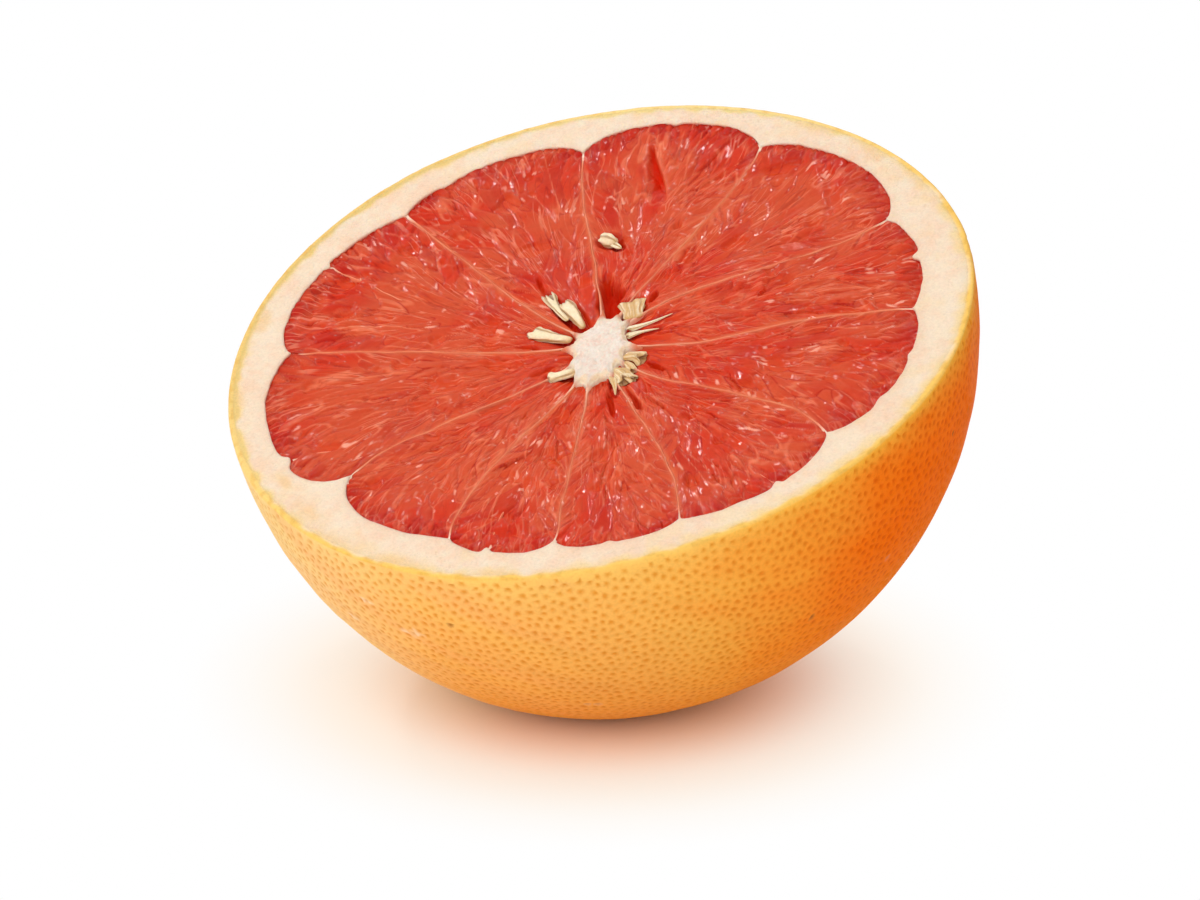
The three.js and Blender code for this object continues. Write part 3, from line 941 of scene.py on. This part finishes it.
def cut_rind(x, y, from_skin):
    """Height and colour of the cut through pith and peel, at a distance from the skin."""
    sponge = cloud(x, y, 1.1, 41, 3)
    patch = cloud(x, y, 5, 42)
    blotch = cloud(x, y, 2.4, 66)
    smudge = layered_noise(x / 3.4 + 50, y / 3.4, 68, 2)
    speck = smoothstep(0.80, 0.92, lattice_noise(x / 0.45, y / 0.45, 67)) * smoothstep(0.35, 0.6, patch)
    turn = np.arctan2(y, x)
    far = smoothstep(0.35, 0.75, 0.5 + 0.5 * np.cos(turn - math.radians(115)))
    far_edge = tinted(LEMON, MUSTARD, smoothstep(0.4, 1, np.cos(turn - math.radians(140))))
    in_edge = smoothstep(0.4, -0.5, from_skin - 0.75 - 0.75 * far + 1.3 * (blotch - 0.5))
    cut_gland = smoothstep(0.55, 0.75, lattice_noise(turn * FACE_RADIUS / 0.9, from_skin / 0.9, 65))
    colour = painted(
        CREAM,
        (PEACH, smoothstep(0.3, 0.8, 0.5 * patch + 0.5 * sponge)),
        (YELLOWED, 0.22 * smoothstep(0.58, 0.8, smudge)),
        (TAN, 0.30 * speck),
        (YELLOWED, 0.80 * smoothstep(2.5, 0.6, from_skin + 2.6 * (blotch - 0.5))),
        (tinted(GOLD, far_edge, far), in_edge),
        (OLIVE, 0.40 * cut_gland * smoothstep(1.2, 0.5, from_skin)))
    return 0.12 * (sponge - 0.5) + 0.25 * (patch - 0.5), colour


def stained(colour, x, y, angle, to_peel):
    """The cut pith's colour with its yellow stains."""
    ragged = cloud(x, y, 1.9, 44)
    for at, off, size in STAINS:
        aside = turned_from(angle, math.radians(at)) * FACE_RADIUS / 2.4
        stain = bump(np.hypot(aside, to_peel - off) + 2 * (ragged - 0.5), size)
        colour = tinted(colour, YELLOWED * (0.95, 0.9, 1), 0.75 * stain)
    return colour


def inner_outline(angle):
    """Where the pith meets the pulp in a direction from the face's centre."""
    turns, radii = [], []
    share = np.linspace(0, 1, 400)
    for index in range(SEGMENTS):
        radius = pulp_radius(index, share, between(index, share, RIM_RADIUS))
        turns.append(between(index, share, radius))
        radii.append(radius)
    turns = np.maximum.accumulate(np.concatenate(turns))
    return np.interp(np.where(angle < turns[0], angle + 2 * math.pi, angle), turns, np.concatenate(radii))


def pith_bowl(material):
    columns, rows, coarser = 1536, 26, 16
    lap = 0.3  # of the pith and the peel
    lip, depth = 2.5, 43.5  # of the inside wall: straight down, and then round
    angle = np.linspace(0, 2 * math.pi, columns, endpoint=False)
    coarse = angle[::coarser]
    inner = inner_outline(angle)
    at_peel = xyz(peel_radius(angle) - PEEL_THICK + lap, angle, 0)
    at_pulp = off_axis(xyz(inner, angle, 0))
    thick = np.linalg.norm(at_peel - at_pulp, axis=1)
    shell = Shell()
    # Outside, from the bottom up, hidden by the peel.
    rings = [shell.add(under_peel(level, coarse, lap), CREAM) for level in np.linspace(0.06, 0.98, 10)]
    # The cut ring, from the peel inwards.
    for i in range(rows + 1):
        share = i / rows
        ring = at_peel * (1 - share) + at_pulp * share
        x, y = ring[:, 0], ring[:, 1]
        to_pulp, to_peel = thick * (1 - share), thick * share - lap
        z, colour = cut_rind(x, y, to_peel + PEEL_THICK)
        ring[:, 2] = z - 0.05 * np.exp(-to_pulp / 0.2) - 0.035 * smoothstep(0.4, -0.3, to_peel)
        colour = tinted(stained(colour, x, y, angle, to_peel), PINK, 0.16 * np.exp(-to_pulp / 0.6))
        rings.append(shell.add(ring, colour))
    # The inside wall, down behind the pulp, reddened by it.
    rings.append(shell.add(at_pulp + np.stack([0 * z, 0 * z, z - 0.4], -1), tinted(CREAM, CORAL, 0.7)))
    rings.append(shell.add(at_pulp - (0, 0, lip), CORAL))
    for level in (0.25, 0.45, 0.65, 0.85, 0.97):
        turn = level * math.pi / 2
        wall = xyz(inner[::coarser] * math.cos(turn), coarse, -lip - depth * math.sin(turn))
        rings.append(shell.add(off_axis(wall), CREAM))
    outer_tip = shell.add(under_peel(0, 0.0, lap), CREAM)
    inner_tip = shell.add((0, -AXIS_OFFSET, -lip - depth - 0.2), CREAM)
    faces = capped(inner_tip, rings[::-1], outer_tip)
    piece = shell.piece("pith", faces, lambda points: pressed_flat(points, 0, 1.1))
    return dress(piece, material, "pith", "fruit_half")


# The peel.

def skin_colour(angle, z):
    """The peel's colour: gold, with a deep orange side that is partly the skin's own colour and partly
    painted bounce light and shade, a paler side that is partly painted light, and a yellow edge at the cut.
    """
    cheek_and_bounce = 0.5 + 0.5 * np.cos(angle - math.radians(345))
    pale = 0.5 + 0.5 * np.cos(angle - math.radians(172))
    x, y = FACE_RADIUS * np.cos(angle), FACE_RADIUS * np.sin(angle)
    patch = layered_noise(x / 13 + z / 9, y / 13 - z / 11, 61, 3)
    freckle = layered_noise(x / 3 + z / 3, y / 3 - z / 2, 62, 2)
    colour = painted(
        SUNNY,
        # Deep orange towards 345 degrees: partly the skin's own colour, partly painted orange bounce light
        # and shade.
        (CHEEK_AND_BOUNCE, smoothstep(0.63, 0.95, cheek_and_bounce + 0.16 * (patch - 0.5))),
        (AMBER, 0.65 * smoothstep(-12, -45, z)),
        # Paler towards 172 degrees: partly the skin's own colour, partly painted light on the side the light
        # falls on.
        (PALE, 0.9 * smoothstep(0.72, 0.96, pale + 0.1 * (patch - 0.5))),
        (LEMON, 0.7 * smoothstep(0.35, 0.85, pale) * np.exp(z / 5)))
    colour[:, 2] *= 1 - 0.45 * smoothstep(0.5, 0.85, cheek_and_bounce)
    colour = tinted(colour, BLUSH, 0.55 * smoothstep(0.38, 0.80, patch) * smoothstep(0.6, 0.3, cheek_and_bounce))
    colour = colour * (0.96 + 0.08 * freckle)[:, None]
    gold = tinted(GOLD, GOLD * (0.99, 0.88, 0.45), smoothstep(0.6, 0.9, cheek_and_bounce))
    yellow = smoothstep(0.97, 0.6, pale) * (0.45 + 0.5 * smoothstep(0.35, 0.65, freckle + 0.6 * cheek_and_bounce))
    return tinted(colour, gold, yellow * np.exp(z / (1.4 + 2.4 * freckle)))


def dimple(radius):
    """How far the blossom scar lies in from the dome, at a distance from the axis."""
    return SCAR["depth"] * bump(radius, SCAR["radius"])


def dome(colatitude, angle, sunk=0.0):
    """Points of the peel's outside, from the blossom end (colatitude 0) to the rim."""
    swell = 0.22 * (layered_noise(colatitude * 9, angle * 9 * np.sin(colatitude), 63, 2) - 0.5)
    radius = (peel_radius(angle) + swell - sunk) * np.sin(colatitude)
    return xyz(radius, angle, dimple(radius) - (DOME_DEPTH + swell - sunk) * np.cos(colatitude))


def under_peel(level, angle, lower=0.0):
    """A ring inside the peel, from level 0 at the blossom end to 1 at the rim; it may be set lower."""
    turn = level * math.pi / 2
    radius = (peel_radius(angle) - PEEL_THICK) * math.sin(turn)
    return xyz(radius, angle, dimple(radius) - (DOME_DEPTH - PEEL_THICK) * math.cos(turn) - lower)


def scattered(spacing, edge, rng):
    """Places on the dome, each at least the spacing from the others: colatitudes and angles."""
    count = int(60 * FACE_RADIUS**2 / spacing**2)
    middle = np.arccos(rng.uniform(math.cos(edge), 1, count))
    around = rng.uniform(0, 2 * math.pi, count)
    places = FACE_RADIUS * np.stack([np.sin(middle) * np.cos(around), np.sin(middle) * np.sin(around),
                                     np.cos(middle)], 1)
    cells = np.floor(places / spacing).astype(int).tolist()
    taken, kept = {}, []
    for i, (place, (a, b, c)) in enumerate(zip(places.tolist(), cells)):
        around_it = (taken.get((a + i // 9 - 1, b + i // 3 % 3 - 1, c + i % 3 - 1), ()) for i in range(27))
        if all(math.dist(place, other) >= spacing for cell in around_it for other in cell):
            taken.setdefault((a, b, c), []).append(place)
            kept.append(i)
    return middle[kept], around[kept]


def flattened(colatitude, angle):
    """Places on the dome as points of a plane, where circles stay round."""
    reach = np.tan(colatitude / 2)
    return np.stack([reach * np.cos(angle), reach * np.sin(angle)], 1)


def triangles(plane):
    """The Delaunay triangles of points in a plane, as rows of their numbers."""
    _, _, faces, origins, *_ = delaunay_2d_cdt([Vector(point) for point in plane.tolist()], [], [], 0, 1e-9)
    origins = np.array([numbers[0] for numbers in origins])
    return origins[np.array([list(face) for face in faces if len(face) == 3])]


def glands(edge):
    """Vertices of the outside: the middles of the oil glands, and the lines between them. Returns their
    colatitudes, their angles and how far each is sunk, at most 1."""
    rng = np.random.default_rng(5)
    middle, around = scattered(GLAND_SPACING, edge - 0.5 / FACE_RADIUS, rng)
    centres = flattened(middle, around)
    corners = triangles(centres)
    sides = np.sort(np.concatenate([corners[:, :2], corners[:, 1:], corners[:, ::2]]), axis=1)
    lines = np.concatenate([centres[np.unique(sides, axis=0)].mean(1), centres[corners].mean(1)])
    colatitude, angle = 2 * np.arctan(np.hypot(*lines.T)), np.arctan2(lines[:, 1], lines[:, 0])
    kept = colatitude < edge - 0.12 / FACE_RADIUS
    sinks = np.concatenate([rng.uniform(0.7, 1.0, len(middle)), np.zeros(kept.sum())])
    return np.concatenate([middle, colatitude[kept]]), np.concatenate([around, angle[kept]]), sinks


def marked(colour, body, around, sinks):
    """The skin's colour with brown specks in some glands, pale scuffs, and the scar at the blossom end."""
    speck = np.random.default_rng(8).random(len(sinks)) > 0.999
    colour = tinted(colour, BROWN, 0.75 * (speck & (sinks > 0)))
    ragged = 1.5 * (layered_noise(around * 60, body[:, 2], 69, 2) - 0.5)
    for at, low, size in SCUFFS:
        aside = turned_from(around, math.radians(at)) * FACE_RADIUS / 2.2
        away = np.hypot(aside, body[:, 2] - low) + ragged
        colour = tinted(colour, CREAM, 0.55 * smoothstep(size, 0.5 * size, away))
    scar = smoothstep(SCAR["radius"] * 0.6, 1.0, np.hypot(body[:, 0], body[:, 1]))
    return tinted(colour, BROWN, 0.8 * scar)


def peel_shell(material):
    columns, rim_rows, coarser = 768, 14, 8
    rounding, under = 0.45, 0.5  # of the cut edge, and how far the peel reaches in under the pith's cut
    angle = np.linspace(0, 2 * math.pi, columns, endpoint=False)
    shell = Shell()
    # The cut edge, from the pith outwards.
    rim = []
    for i in range(rim_rows):
        share = ((PEEL_THICK + under) * i / rim_rows - under) / PEEL_THICK
        reach = peel_radius(angle) - PEEL_THICK * (1 - share)
        z, colour = cut_rind(reach * np.cos(angle), reach * np.sin(angle), PEEL_THICK * (1 - share))
        turn_over = 1 - math.sqrt(1 - max(0.0, 2 * share - 1) ** 2)
        z = z * (1 - turn_over) - rounding * turn_over - 0.035 * smoothstep(0.3, -0.4, share)
        rim.append(shell.add(xyz(reach, angle, z), colour))
    edge = math.pi / 2 - rounding / DOME_DEPTH
    top = dome(np.full(columns, edge), angle)
    rim.append(shell.add(top, skin_colour(angle, top[:, 2])))
    # The outside, as a Delaunay net of the glands.
    colatitude, around, sinks = glands(edge)
    body = dome(colatitude, around, 0.2 * sinks)
    skin = shell.add(body, marked(skin_colour(around, body[:, 2]), body, around, sinks))
    net = np.concatenate([flattened(np.full(columns, edge), angle), flattened(colatitude, around)])
    outside = np.concatenate([rim[-1], skin])[triangles(net)]
    outside_count = shell.count
    # The inside, against the pith.
    levels = np.linspace(0.05, 0.985, 14)[::-1]
    inside = [shell.add(under_peel(level, angle[::coarser]), CREAM) for level in levels]
    tip = shell.add(under_peel(0, 0.0), CREAM)
    faces = [outside[:, ::-1], *stacked(rim), band(inside[0], rim[0])]
    faces += [*stacked(inside[::-1]), fan(inside[-1], tip)[:, ::-1]]
    gland = np.zeros(shell.count)
    gland[skin] = sinks
    piece = shell.piece("peel", faces, lambda points: pressed_flat(points, outside_count, 0.9), gland=gland)
    return dress(piece, material, "peel", "fruit_half")


def pressed_flat(points, outside_count, least):
    """The flat spot: the outside is pressed up to the floor, and the rest to the least height over it."""
    placed = stood(points)
    height = placed[:, 2] / MM
    soft = 0.5 * (height + np.sqrt(height**2 + 4 * 0.15**2))
    outside = np.arange(len(points)) < outside_count
    pressed = np.where(height < 6, np.maximum(soft, 0), height)
    height = np.where(outside, pressed, np.maximum(height, least))
    placed[:, 2] = height * MM
    return unstood(placed)


# The core and the membranes.

def core_top(radius, angle, share):
    """Height and colour of the core's spongy cut, a share of the way out to its edge."""
    x, y = radius * np.cos(angle), radius * np.sin(angle)
    sponge = cloud(x, y, 0.9, 71, 3)
    grit = layered_noise(x / 0.35 + 40, y / 0.35, 74, 2)
    blotch = cloud(x, y, 2, 72)
    arm = np.clip((radius - core_ellipse(angle)) / 2.4, 0, 1)
    rolled = 0.3 * smoothstep(0.86, 1, share) + 0.35 * arm
    colour = painted(
        CORE_WHITE,
        (CORE_PINK, smoothstep(0.35, 0.8, 0.5 * blotch + 0.5 * grit)),
        (CORE_EDGE, 0.5 * smoothstep(0.80, 0.97, share + 0.3 * (blotch - 0.5))),
        (tinted(VEIN, CREAM, smoothstep(1, 0.3, arm)), smoothstep(0, 0.5, arm)))
    return 0.10 + 0.50 * (sponge - 0.5) + 0.12 * (grit - 0.5) - rolled, colour


def core_column(material):
    columns, rows, depth = 320, 44, 43
    angle = np.linspace(0, 2 * math.pi, columns, endpoint=False)
    outline = core_radius(angle)
    shell = Shell()
    rings = []
    for i in range(rows):
        share = (i + 1) / rows
        z, colour = core_top(outline * share, angle, share)
        rings.append(shell.add(xyz(outline * share, angle, z), colour))
    for z, scale in ((-2.5, 0.97), (-20, 0.8), (-depth, 0.5)):
        rings.append(shell.add(xyz(outline * scale, angle, z), PEACH))
    faces = capped(shell.add((0, 0, 0.15), CREAM), rings, shell.add((0, 0, -depth), CREAM))
    return dress(shell.piece("core", faces, off_axis), material, "pith", "fruit_half")


def wall_piece(name, radius, angle, thick, top, colour, material):
    """A thin wall down from the cut, along a line given by radii and angles."""
    deep = -depth_under(radius.clip(0, 46))
    half = [(0, top + 0.03), (0.4, top), (0.75, top - 0.1), (0.97, top - 0.3)]
    half += [(1, top - 1.4), (1, 0.5 * deep), (1, deep)]
    profile = [(-side, z) for side, z in half[:0:-1]] + half
    shell = Shell()
    rows = np.array([shell.add(xyz(radius, angle + side * thick / radius, z), colour) for side, z in profile])
    across = np.roll(rows, -1, axis=0)
    quads = np.stack([rows[:, :-1], rows[:, 1:], across[:, 1:], across[:, :-1]], -1)
    faces = [quads.reshape(-1, 4), rows[None, :, 0], rows[None, ::-1, -1]]
    return dress(shell.piece(name, faces, off_axis), material, "membrane", "fruit_half")


def membrane(index, material):
    """The double skin between two segments, from the core to the pith, a little proud of the pulp."""
    notch = MEMBRANES[index, 3]
    start = float(core_ellipse(membrane_angle(index, INNER_RADIUS))) + 0.6
    radius = np.linspace(start, notch + 2.5, 170)
    flare = 0.45 * np.exp(-(radius - start) / 1.3) + 0.95 * np.exp(-np.abs(notch + 1.4 - radius) / 1.0)
    thick = WALL + flare + 0.12 * (wave(radius / 1.5, index, 91, 3) - 0.5)
    top = membrane_top(index, radius) - 0.25 * smoothstep(notch + 0.5, notch + 2.5, radius)
    fade = wave(radius / 4, index, 93) * smoothstep(notch, notch - 5, radius)
    colour = painted(
        VEIN * (1, 1.15, 1.2),
        (CORAL, 0.40 * fade * smoothstep(start, start + 5, radius)),
        (PEACH, 0.9 * np.exp(-(radius - start) / 3.2)),
        (CREAM, 0.92 * smoothstep(notch - 3.5, notch + 0.3, radius) ** 2))
    angle = membrane_angle(index, radius)
    wall_piece(f"membrane_{index + 1:02d}", radius, angle, thick, top, colour, material)


def partial_membrane(number, material):
    """A fold of pith that ends inside a segment."""
    outer, inner, rim_angle, inner_angle = FOLDS[number]
    radius = np.linspace(inner, outer, 120)
    share = (radius - inner) / (outer - inner)
    sway = 0.6 * (wave(radius / 3, number * 5.1, 94) - 0.5) / radius
    angle = np.radians(inner_angle + (rim_angle - inner_angle) * share) + sway
    thick = (WALL - 0.04) * smoothstep(0, 0.3, share) + 0.02 + 0.3 * smoothstep(0.85, 1, share)
    top = -0.85 + 0.45 * smoothstep(0, 0.4, share)
    colour = tinted(VEIN, CREAM, 0.05 + 0.7 * smoothstep(0.85, 1, share))
    wall_piece(f"fold_{number + 1}", radius, angle, thick, top, colour, material)


# The seeds.

def husk_ring(number, turn, share, inside):
    """A ring of a husk lying along +X: its points, and the crease and crumple at each. The share runs from
    the closed end to the mouth, and inside runs from 0 at the mouth to 1 in the hollow."""
    husk = HUSKS[number]
    from_end = share * husk.length
    width = np.interp(share, (0, 0.5, 1), (husk.closed, husk.middle, husk.opened))
    width *= math.sqrt(1 - (1 - min(from_end / 0.6, 1)) ** 2)
    width *= 1 + 0.4 * (float(lattice_noise(from_end / 1.4, number * 1.7, 320)) - 0.5)
    narrowed = (0.2 if husk.slit else 0.8) * float(smoothstep(0.90, 1.0, share)) ** 2
    crumple_x, crumple_y = 1.3 * np.cos(turn) + 9, 1.3 * np.sin(turn) + 9
    crumple = layered_noise(crumple_x, crumple_y + 0.45 * from_end, 300 + number, 3) - 0.5
    crease = np.cos(husk.ribs * turn + 1.5 * share + number)
    outline = 1 + 0.6 * husk.ridge * crease * min(1, 3 * share) + 0.45 * crumple
    outline = outline * (1 - 0.7 * inside**1.5) * (1 - narrowed)
    lip = 0.16 * husk.length * (lattice_noise(turn * 2.2, 0 * turn + number, 310) - 0.5)
    lip = lip - husk.slit * bump(turn - math.pi / 2, 0.35)
    along = (share - 0.5 - 0.25 * inside) * husk.length + lip * (1 - inside) * smoothstep(0.6, 1, share)
    aside = husk.bend * math.sin(math.pi * share)
    flat = husk.thick * width / max(husk.middle, husk.opened) * (1 - 0.25 * float(smoothstep(0.5, 1, share)))
    y = 0.5 * width * outline * np.cos(turn) + aside
    z = 0.5 * flat * outline * np.sin(turn)
    return np.stack([along, y, z], -1), crease, crumple


def husk_colour(number, turn, share, inside, sunk, crease, crumple):
    """Straw, lighter on the crests and darker in the creases, partly its own colour and partly painted
    highlight and shade; painted shade at the sides against the pulp and in the hollow; reddened by the pulp
    where sunk.
    """
    thread = wave(turn * 9, 0.5 * share * HUSKS[number].length, 330 + number)
    dried = 0.2 + 0.7 * smoothstep(0.3, 0.7, thread) if HUSKS[number].seed in DRIED else 0.0
    return painted(
        STRAW,
        # Lighter on the crests, darker in the creases: partly the husk's own colour, partly painted highlight
        # and shade.
        (HUSK, smoothstep(-1.3, 0.1, crease + 2.5 * crumple + 2 * (thread - 0.5))),
        # Brown in the creases: partly the husk's own lines, partly painted shade.
        (BROWN, 0.80 * smoothstep(-0.5, -0.95, crease) * smoothstep(0.2, 0.5, thread)),
        # Brown at the sides where the husk lies against the pulp: painted shade.
        (BROWN, 0.35 * smoothstep(0.5, 0.1, np.abs(np.sin(turn)))),
        (STRAW, 0.6 * smoothstep(0.3, 0, share)),
        (BROWN, 0.35 * smoothstep(0.92, 1.0, share) * (crumple > 0)),
        (DRY, dried),
        (VEIN, 0.65 * smoothstep(-0.1, -0.7, sunk)),
        # Dark brown in the hollow: painted shade.
        (BROWN * (0.7, 0.6, 0.5), 0.9 * inside**0.5))


def husk_sleeve(number, material):
    """A husk: an empty, ribbed sleeve, closed at one end, ragged and hollow at the other."""
    husk = HUSKS[number]
    columns, body_rows, hollow_rows = 80, 36, 6
    turn = np.linspace(0, 2 * math.pi, columns, endpoint=False)
    shell = Shell()
    rings = []
    for i in range(1, body_rows + hollow_rows + 1):
        share, inside = min(i, body_rows) / body_rows, max(0, i - body_rows) / hollow_rows
        ring, crease, crumple = husk_ring(number, turn, share, inside)
        colour = husk_colour(number, turn, share, inside, ring[:, 2], crease, crumple)
        rings.append(shell.add(ring, colour))
    first, last = shell.points[0].mean(0), shell.points[-1].mean(0)
    first_tip, last_tip = shell.add(first - (0.1, 0, 0), STRAW), shell.add(last - (0.1, 0, 0), BROWN)

    def laid(points):
        """Points turned and set down in the cut face."""
        heading = math.radians(husk.points_to)
        along, across = along_and_across(points[:, 0], points[:, 1], -heading)
        sunk = 0.5 if husk.seed in DRIED else 0.35
        return off_axis(np.stack([along + husk.x, across + husk.y, points[:, 2] - sunk], -1))

    piece = shell.piece(f"husk_{number + 1:02d}", capped(last_tip, rings[::-1], first_tip), laid)
    return dress(piece, material, "seed", f"seed_{husk.seed}")


# The stage.

CAMERA_AZIMUTH = math.radians(36)
CAMERA_ELEVATION = math.radians(21)
CAMERA_DISTANCE = 0.95
FRAME_WIDTH = 0.165  # how wide the frame is at the fruit
SENSOR_WIDTH = 36  # millimetres
CAMERA_TARGET = (0, 0, 0.034)
LAMP_DISTANCE = 0.9
LAMP_TARGET = (0, 0, 0.04)
WHITE = (1, 1, 1)


def direction(azimuth, elevation):
    """Away from the fruit; azimuth 0 is towards -Y, and 90 degrees towards +X."""
    level = math.cos(elevation)
    return Vector((math.sin(azimuth) * level, -math.cos(azimuth) * level, math.sin(elevation)))


def aimed(name, data, target, away, distance):
    """An object looking back at a target from a direction and distance."""
    made = bpy.data.objects.new(name, data)
    made.location = Vector(target) + away * distance
    made.rotation_euler = away.to_track_quat("Z", "Y").to_euler()
    bpy.context.scene.collection.objects.link(made)
    return made


def camera():
    data = bpy.data.cameras.new("camera")
    data.sensor_width = SENSOR_WIDTH
    data.lens = SENSOR_WIDTH * CAMERA_DISTANCE / FRAME_WIDTH
    data.clip_start = 0.05
    data.clip_end = 20
    away = direction(CAMERA_AZIMUTH, CAMERA_ELEVATION)
    bpy.context.scene.camera = aimed("camera", data, CAMERA_TARGET, away, CAMERA_DISTANCE)


def lamp(name, azimuth, elevation, size, watts):
    """A round soft light aimed at the fruit."""
    data = bpy.data.lights.new(name, "AREA")
    data.shape = "DISK"
    data.size = size
    data.energy = watts
    away = direction(math.radians(azimuth), math.radians(elevation))
    aimed(name, data, LAMP_TARGET, away, LAMP_DISTANCE)


def seen_directly(tree, path):
    """1 for what the camera sees, also by reflection or through glass; 0 for what lights the fruit."""
    reflected = math_node(tree, "MAXIMUM", path.outputs["Is Glossy Ray"], path.outputs["Is Transmission Ray"])
    return math_node(tree, "MAXIMUM", path.outputs["Is Camera Ray"], reflected)


def world():
    made = bpy.data.worlds.new("studio")
    made.use_nodes = True
    tree = made.node_tree
    background = tree.nodes["Background"]
    path = tree.nodes.new("ShaderNodeLightPath")
    seen = seen_directly(tree, path)
    strength = node(tree, "ShaderNodeMapRange", Value=seen, To_Min=0.50, To_Max=1.0)
    feed(tree, background.inputs["Color"], mixed_colour(tree, "MIX", seen, (1, 0.90, 0.81), WHITE))
    feed(tree, background.inputs["Strength"], strength.outputs["Result"])
    bpy.context.scene.world = made


def floor():
    """A white floor that keeps the fruit's shadow and fades into the white background."""
    bpy.ops.mesh.primitive_plane_add(size=6, location=(0, 0, 0))
    plane = bpy.context.object
    plane.name = "floor"
    material = bpy.data.materials.new("floor")
    material.use_nodes = True
    tree = material.node_tree
    principled = tree.nodes["Principled BSDF"]
    principled.inputs["Base Color"].default_value = (0.98, 0.90, 0.83, 1)
    principled.inputs["Roughness"].default_value = 0.6
    place = tree.nodes.new("ShaderNodeNewGeometry").outputs["Position"]
    reach = vector_node(tree, "LENGTH", place).outputs["Value"]
    # Close to the fruit the floor has a painted orange glow for the light bounced from its peel, and farther
    # off it is white.
    near = mixed_colour(tree, "MIX", stepped(tree, reach, 0.036, 0.016), (1, 0.90, 0.79), (1, 0.55, 0.32))
    shown = mixed_colour(tree, "MIX", stepped(tree, reach, 0.032, 0.060), near, WHITE)
    glow = node(tree, "ShaderNodeEmission", Strength=1.0, Color=shown)
    path = tree.nodes.new("ShaderNodeLightPath")
    seen = math_node(tree, "MULTIPLY", stepped(tree, reach, 0.010, 0.049), seen_directly(tree, path))
    mixed = tree.nodes.new("ShaderNodeMixShader")
    for socket, value in zip(mixed.inputs, (seen, principled.outputs["BSDF"], glow.outputs["Emission"])):
        feed(tree, socket, value)
    feed(tree, tree.nodes["Material Output"].inputs["Surface"], mixed.outputs["Shader"])
    plane.data.materials.append(material)


def stage():
    bpy.context.scene.view_settings.view_transform = "Standard"
    camera()
    world()
    floor()
    lamp("key", azimuth=25, elevation=37, size=0.7, watts=3.55)
    lamp("fill", azimuth=-40, elevation=11, size=0.5, watts=1.0)
    lamp("back", azimuth=214, elevation=55, size=0.09, watts=1.0)
    lamp("side", azimuth=262, elevation=41, size=0.09, watts=1.2)
    lamp("top", azimuth=246, elevation=65, size=0.09, watts=0.5)


def fruit():
    pulp, skin, pith = pulp_material(), membrane_material(), pith_material()
    for index in range(SEGMENTS):
        pulp_segment(index, pulp)
        membrane(index, skin)
    for number in range(len(FOLDS)):
        partial_membrane(number, skin)
    pith_bowl(pith)
    core_column(core_material())
    peel_shell(peel_material())
    seed = seed_material()
    for number in range(len(HUSKS)):
        husk_sleeve(number, seed)


stage()
fruit()
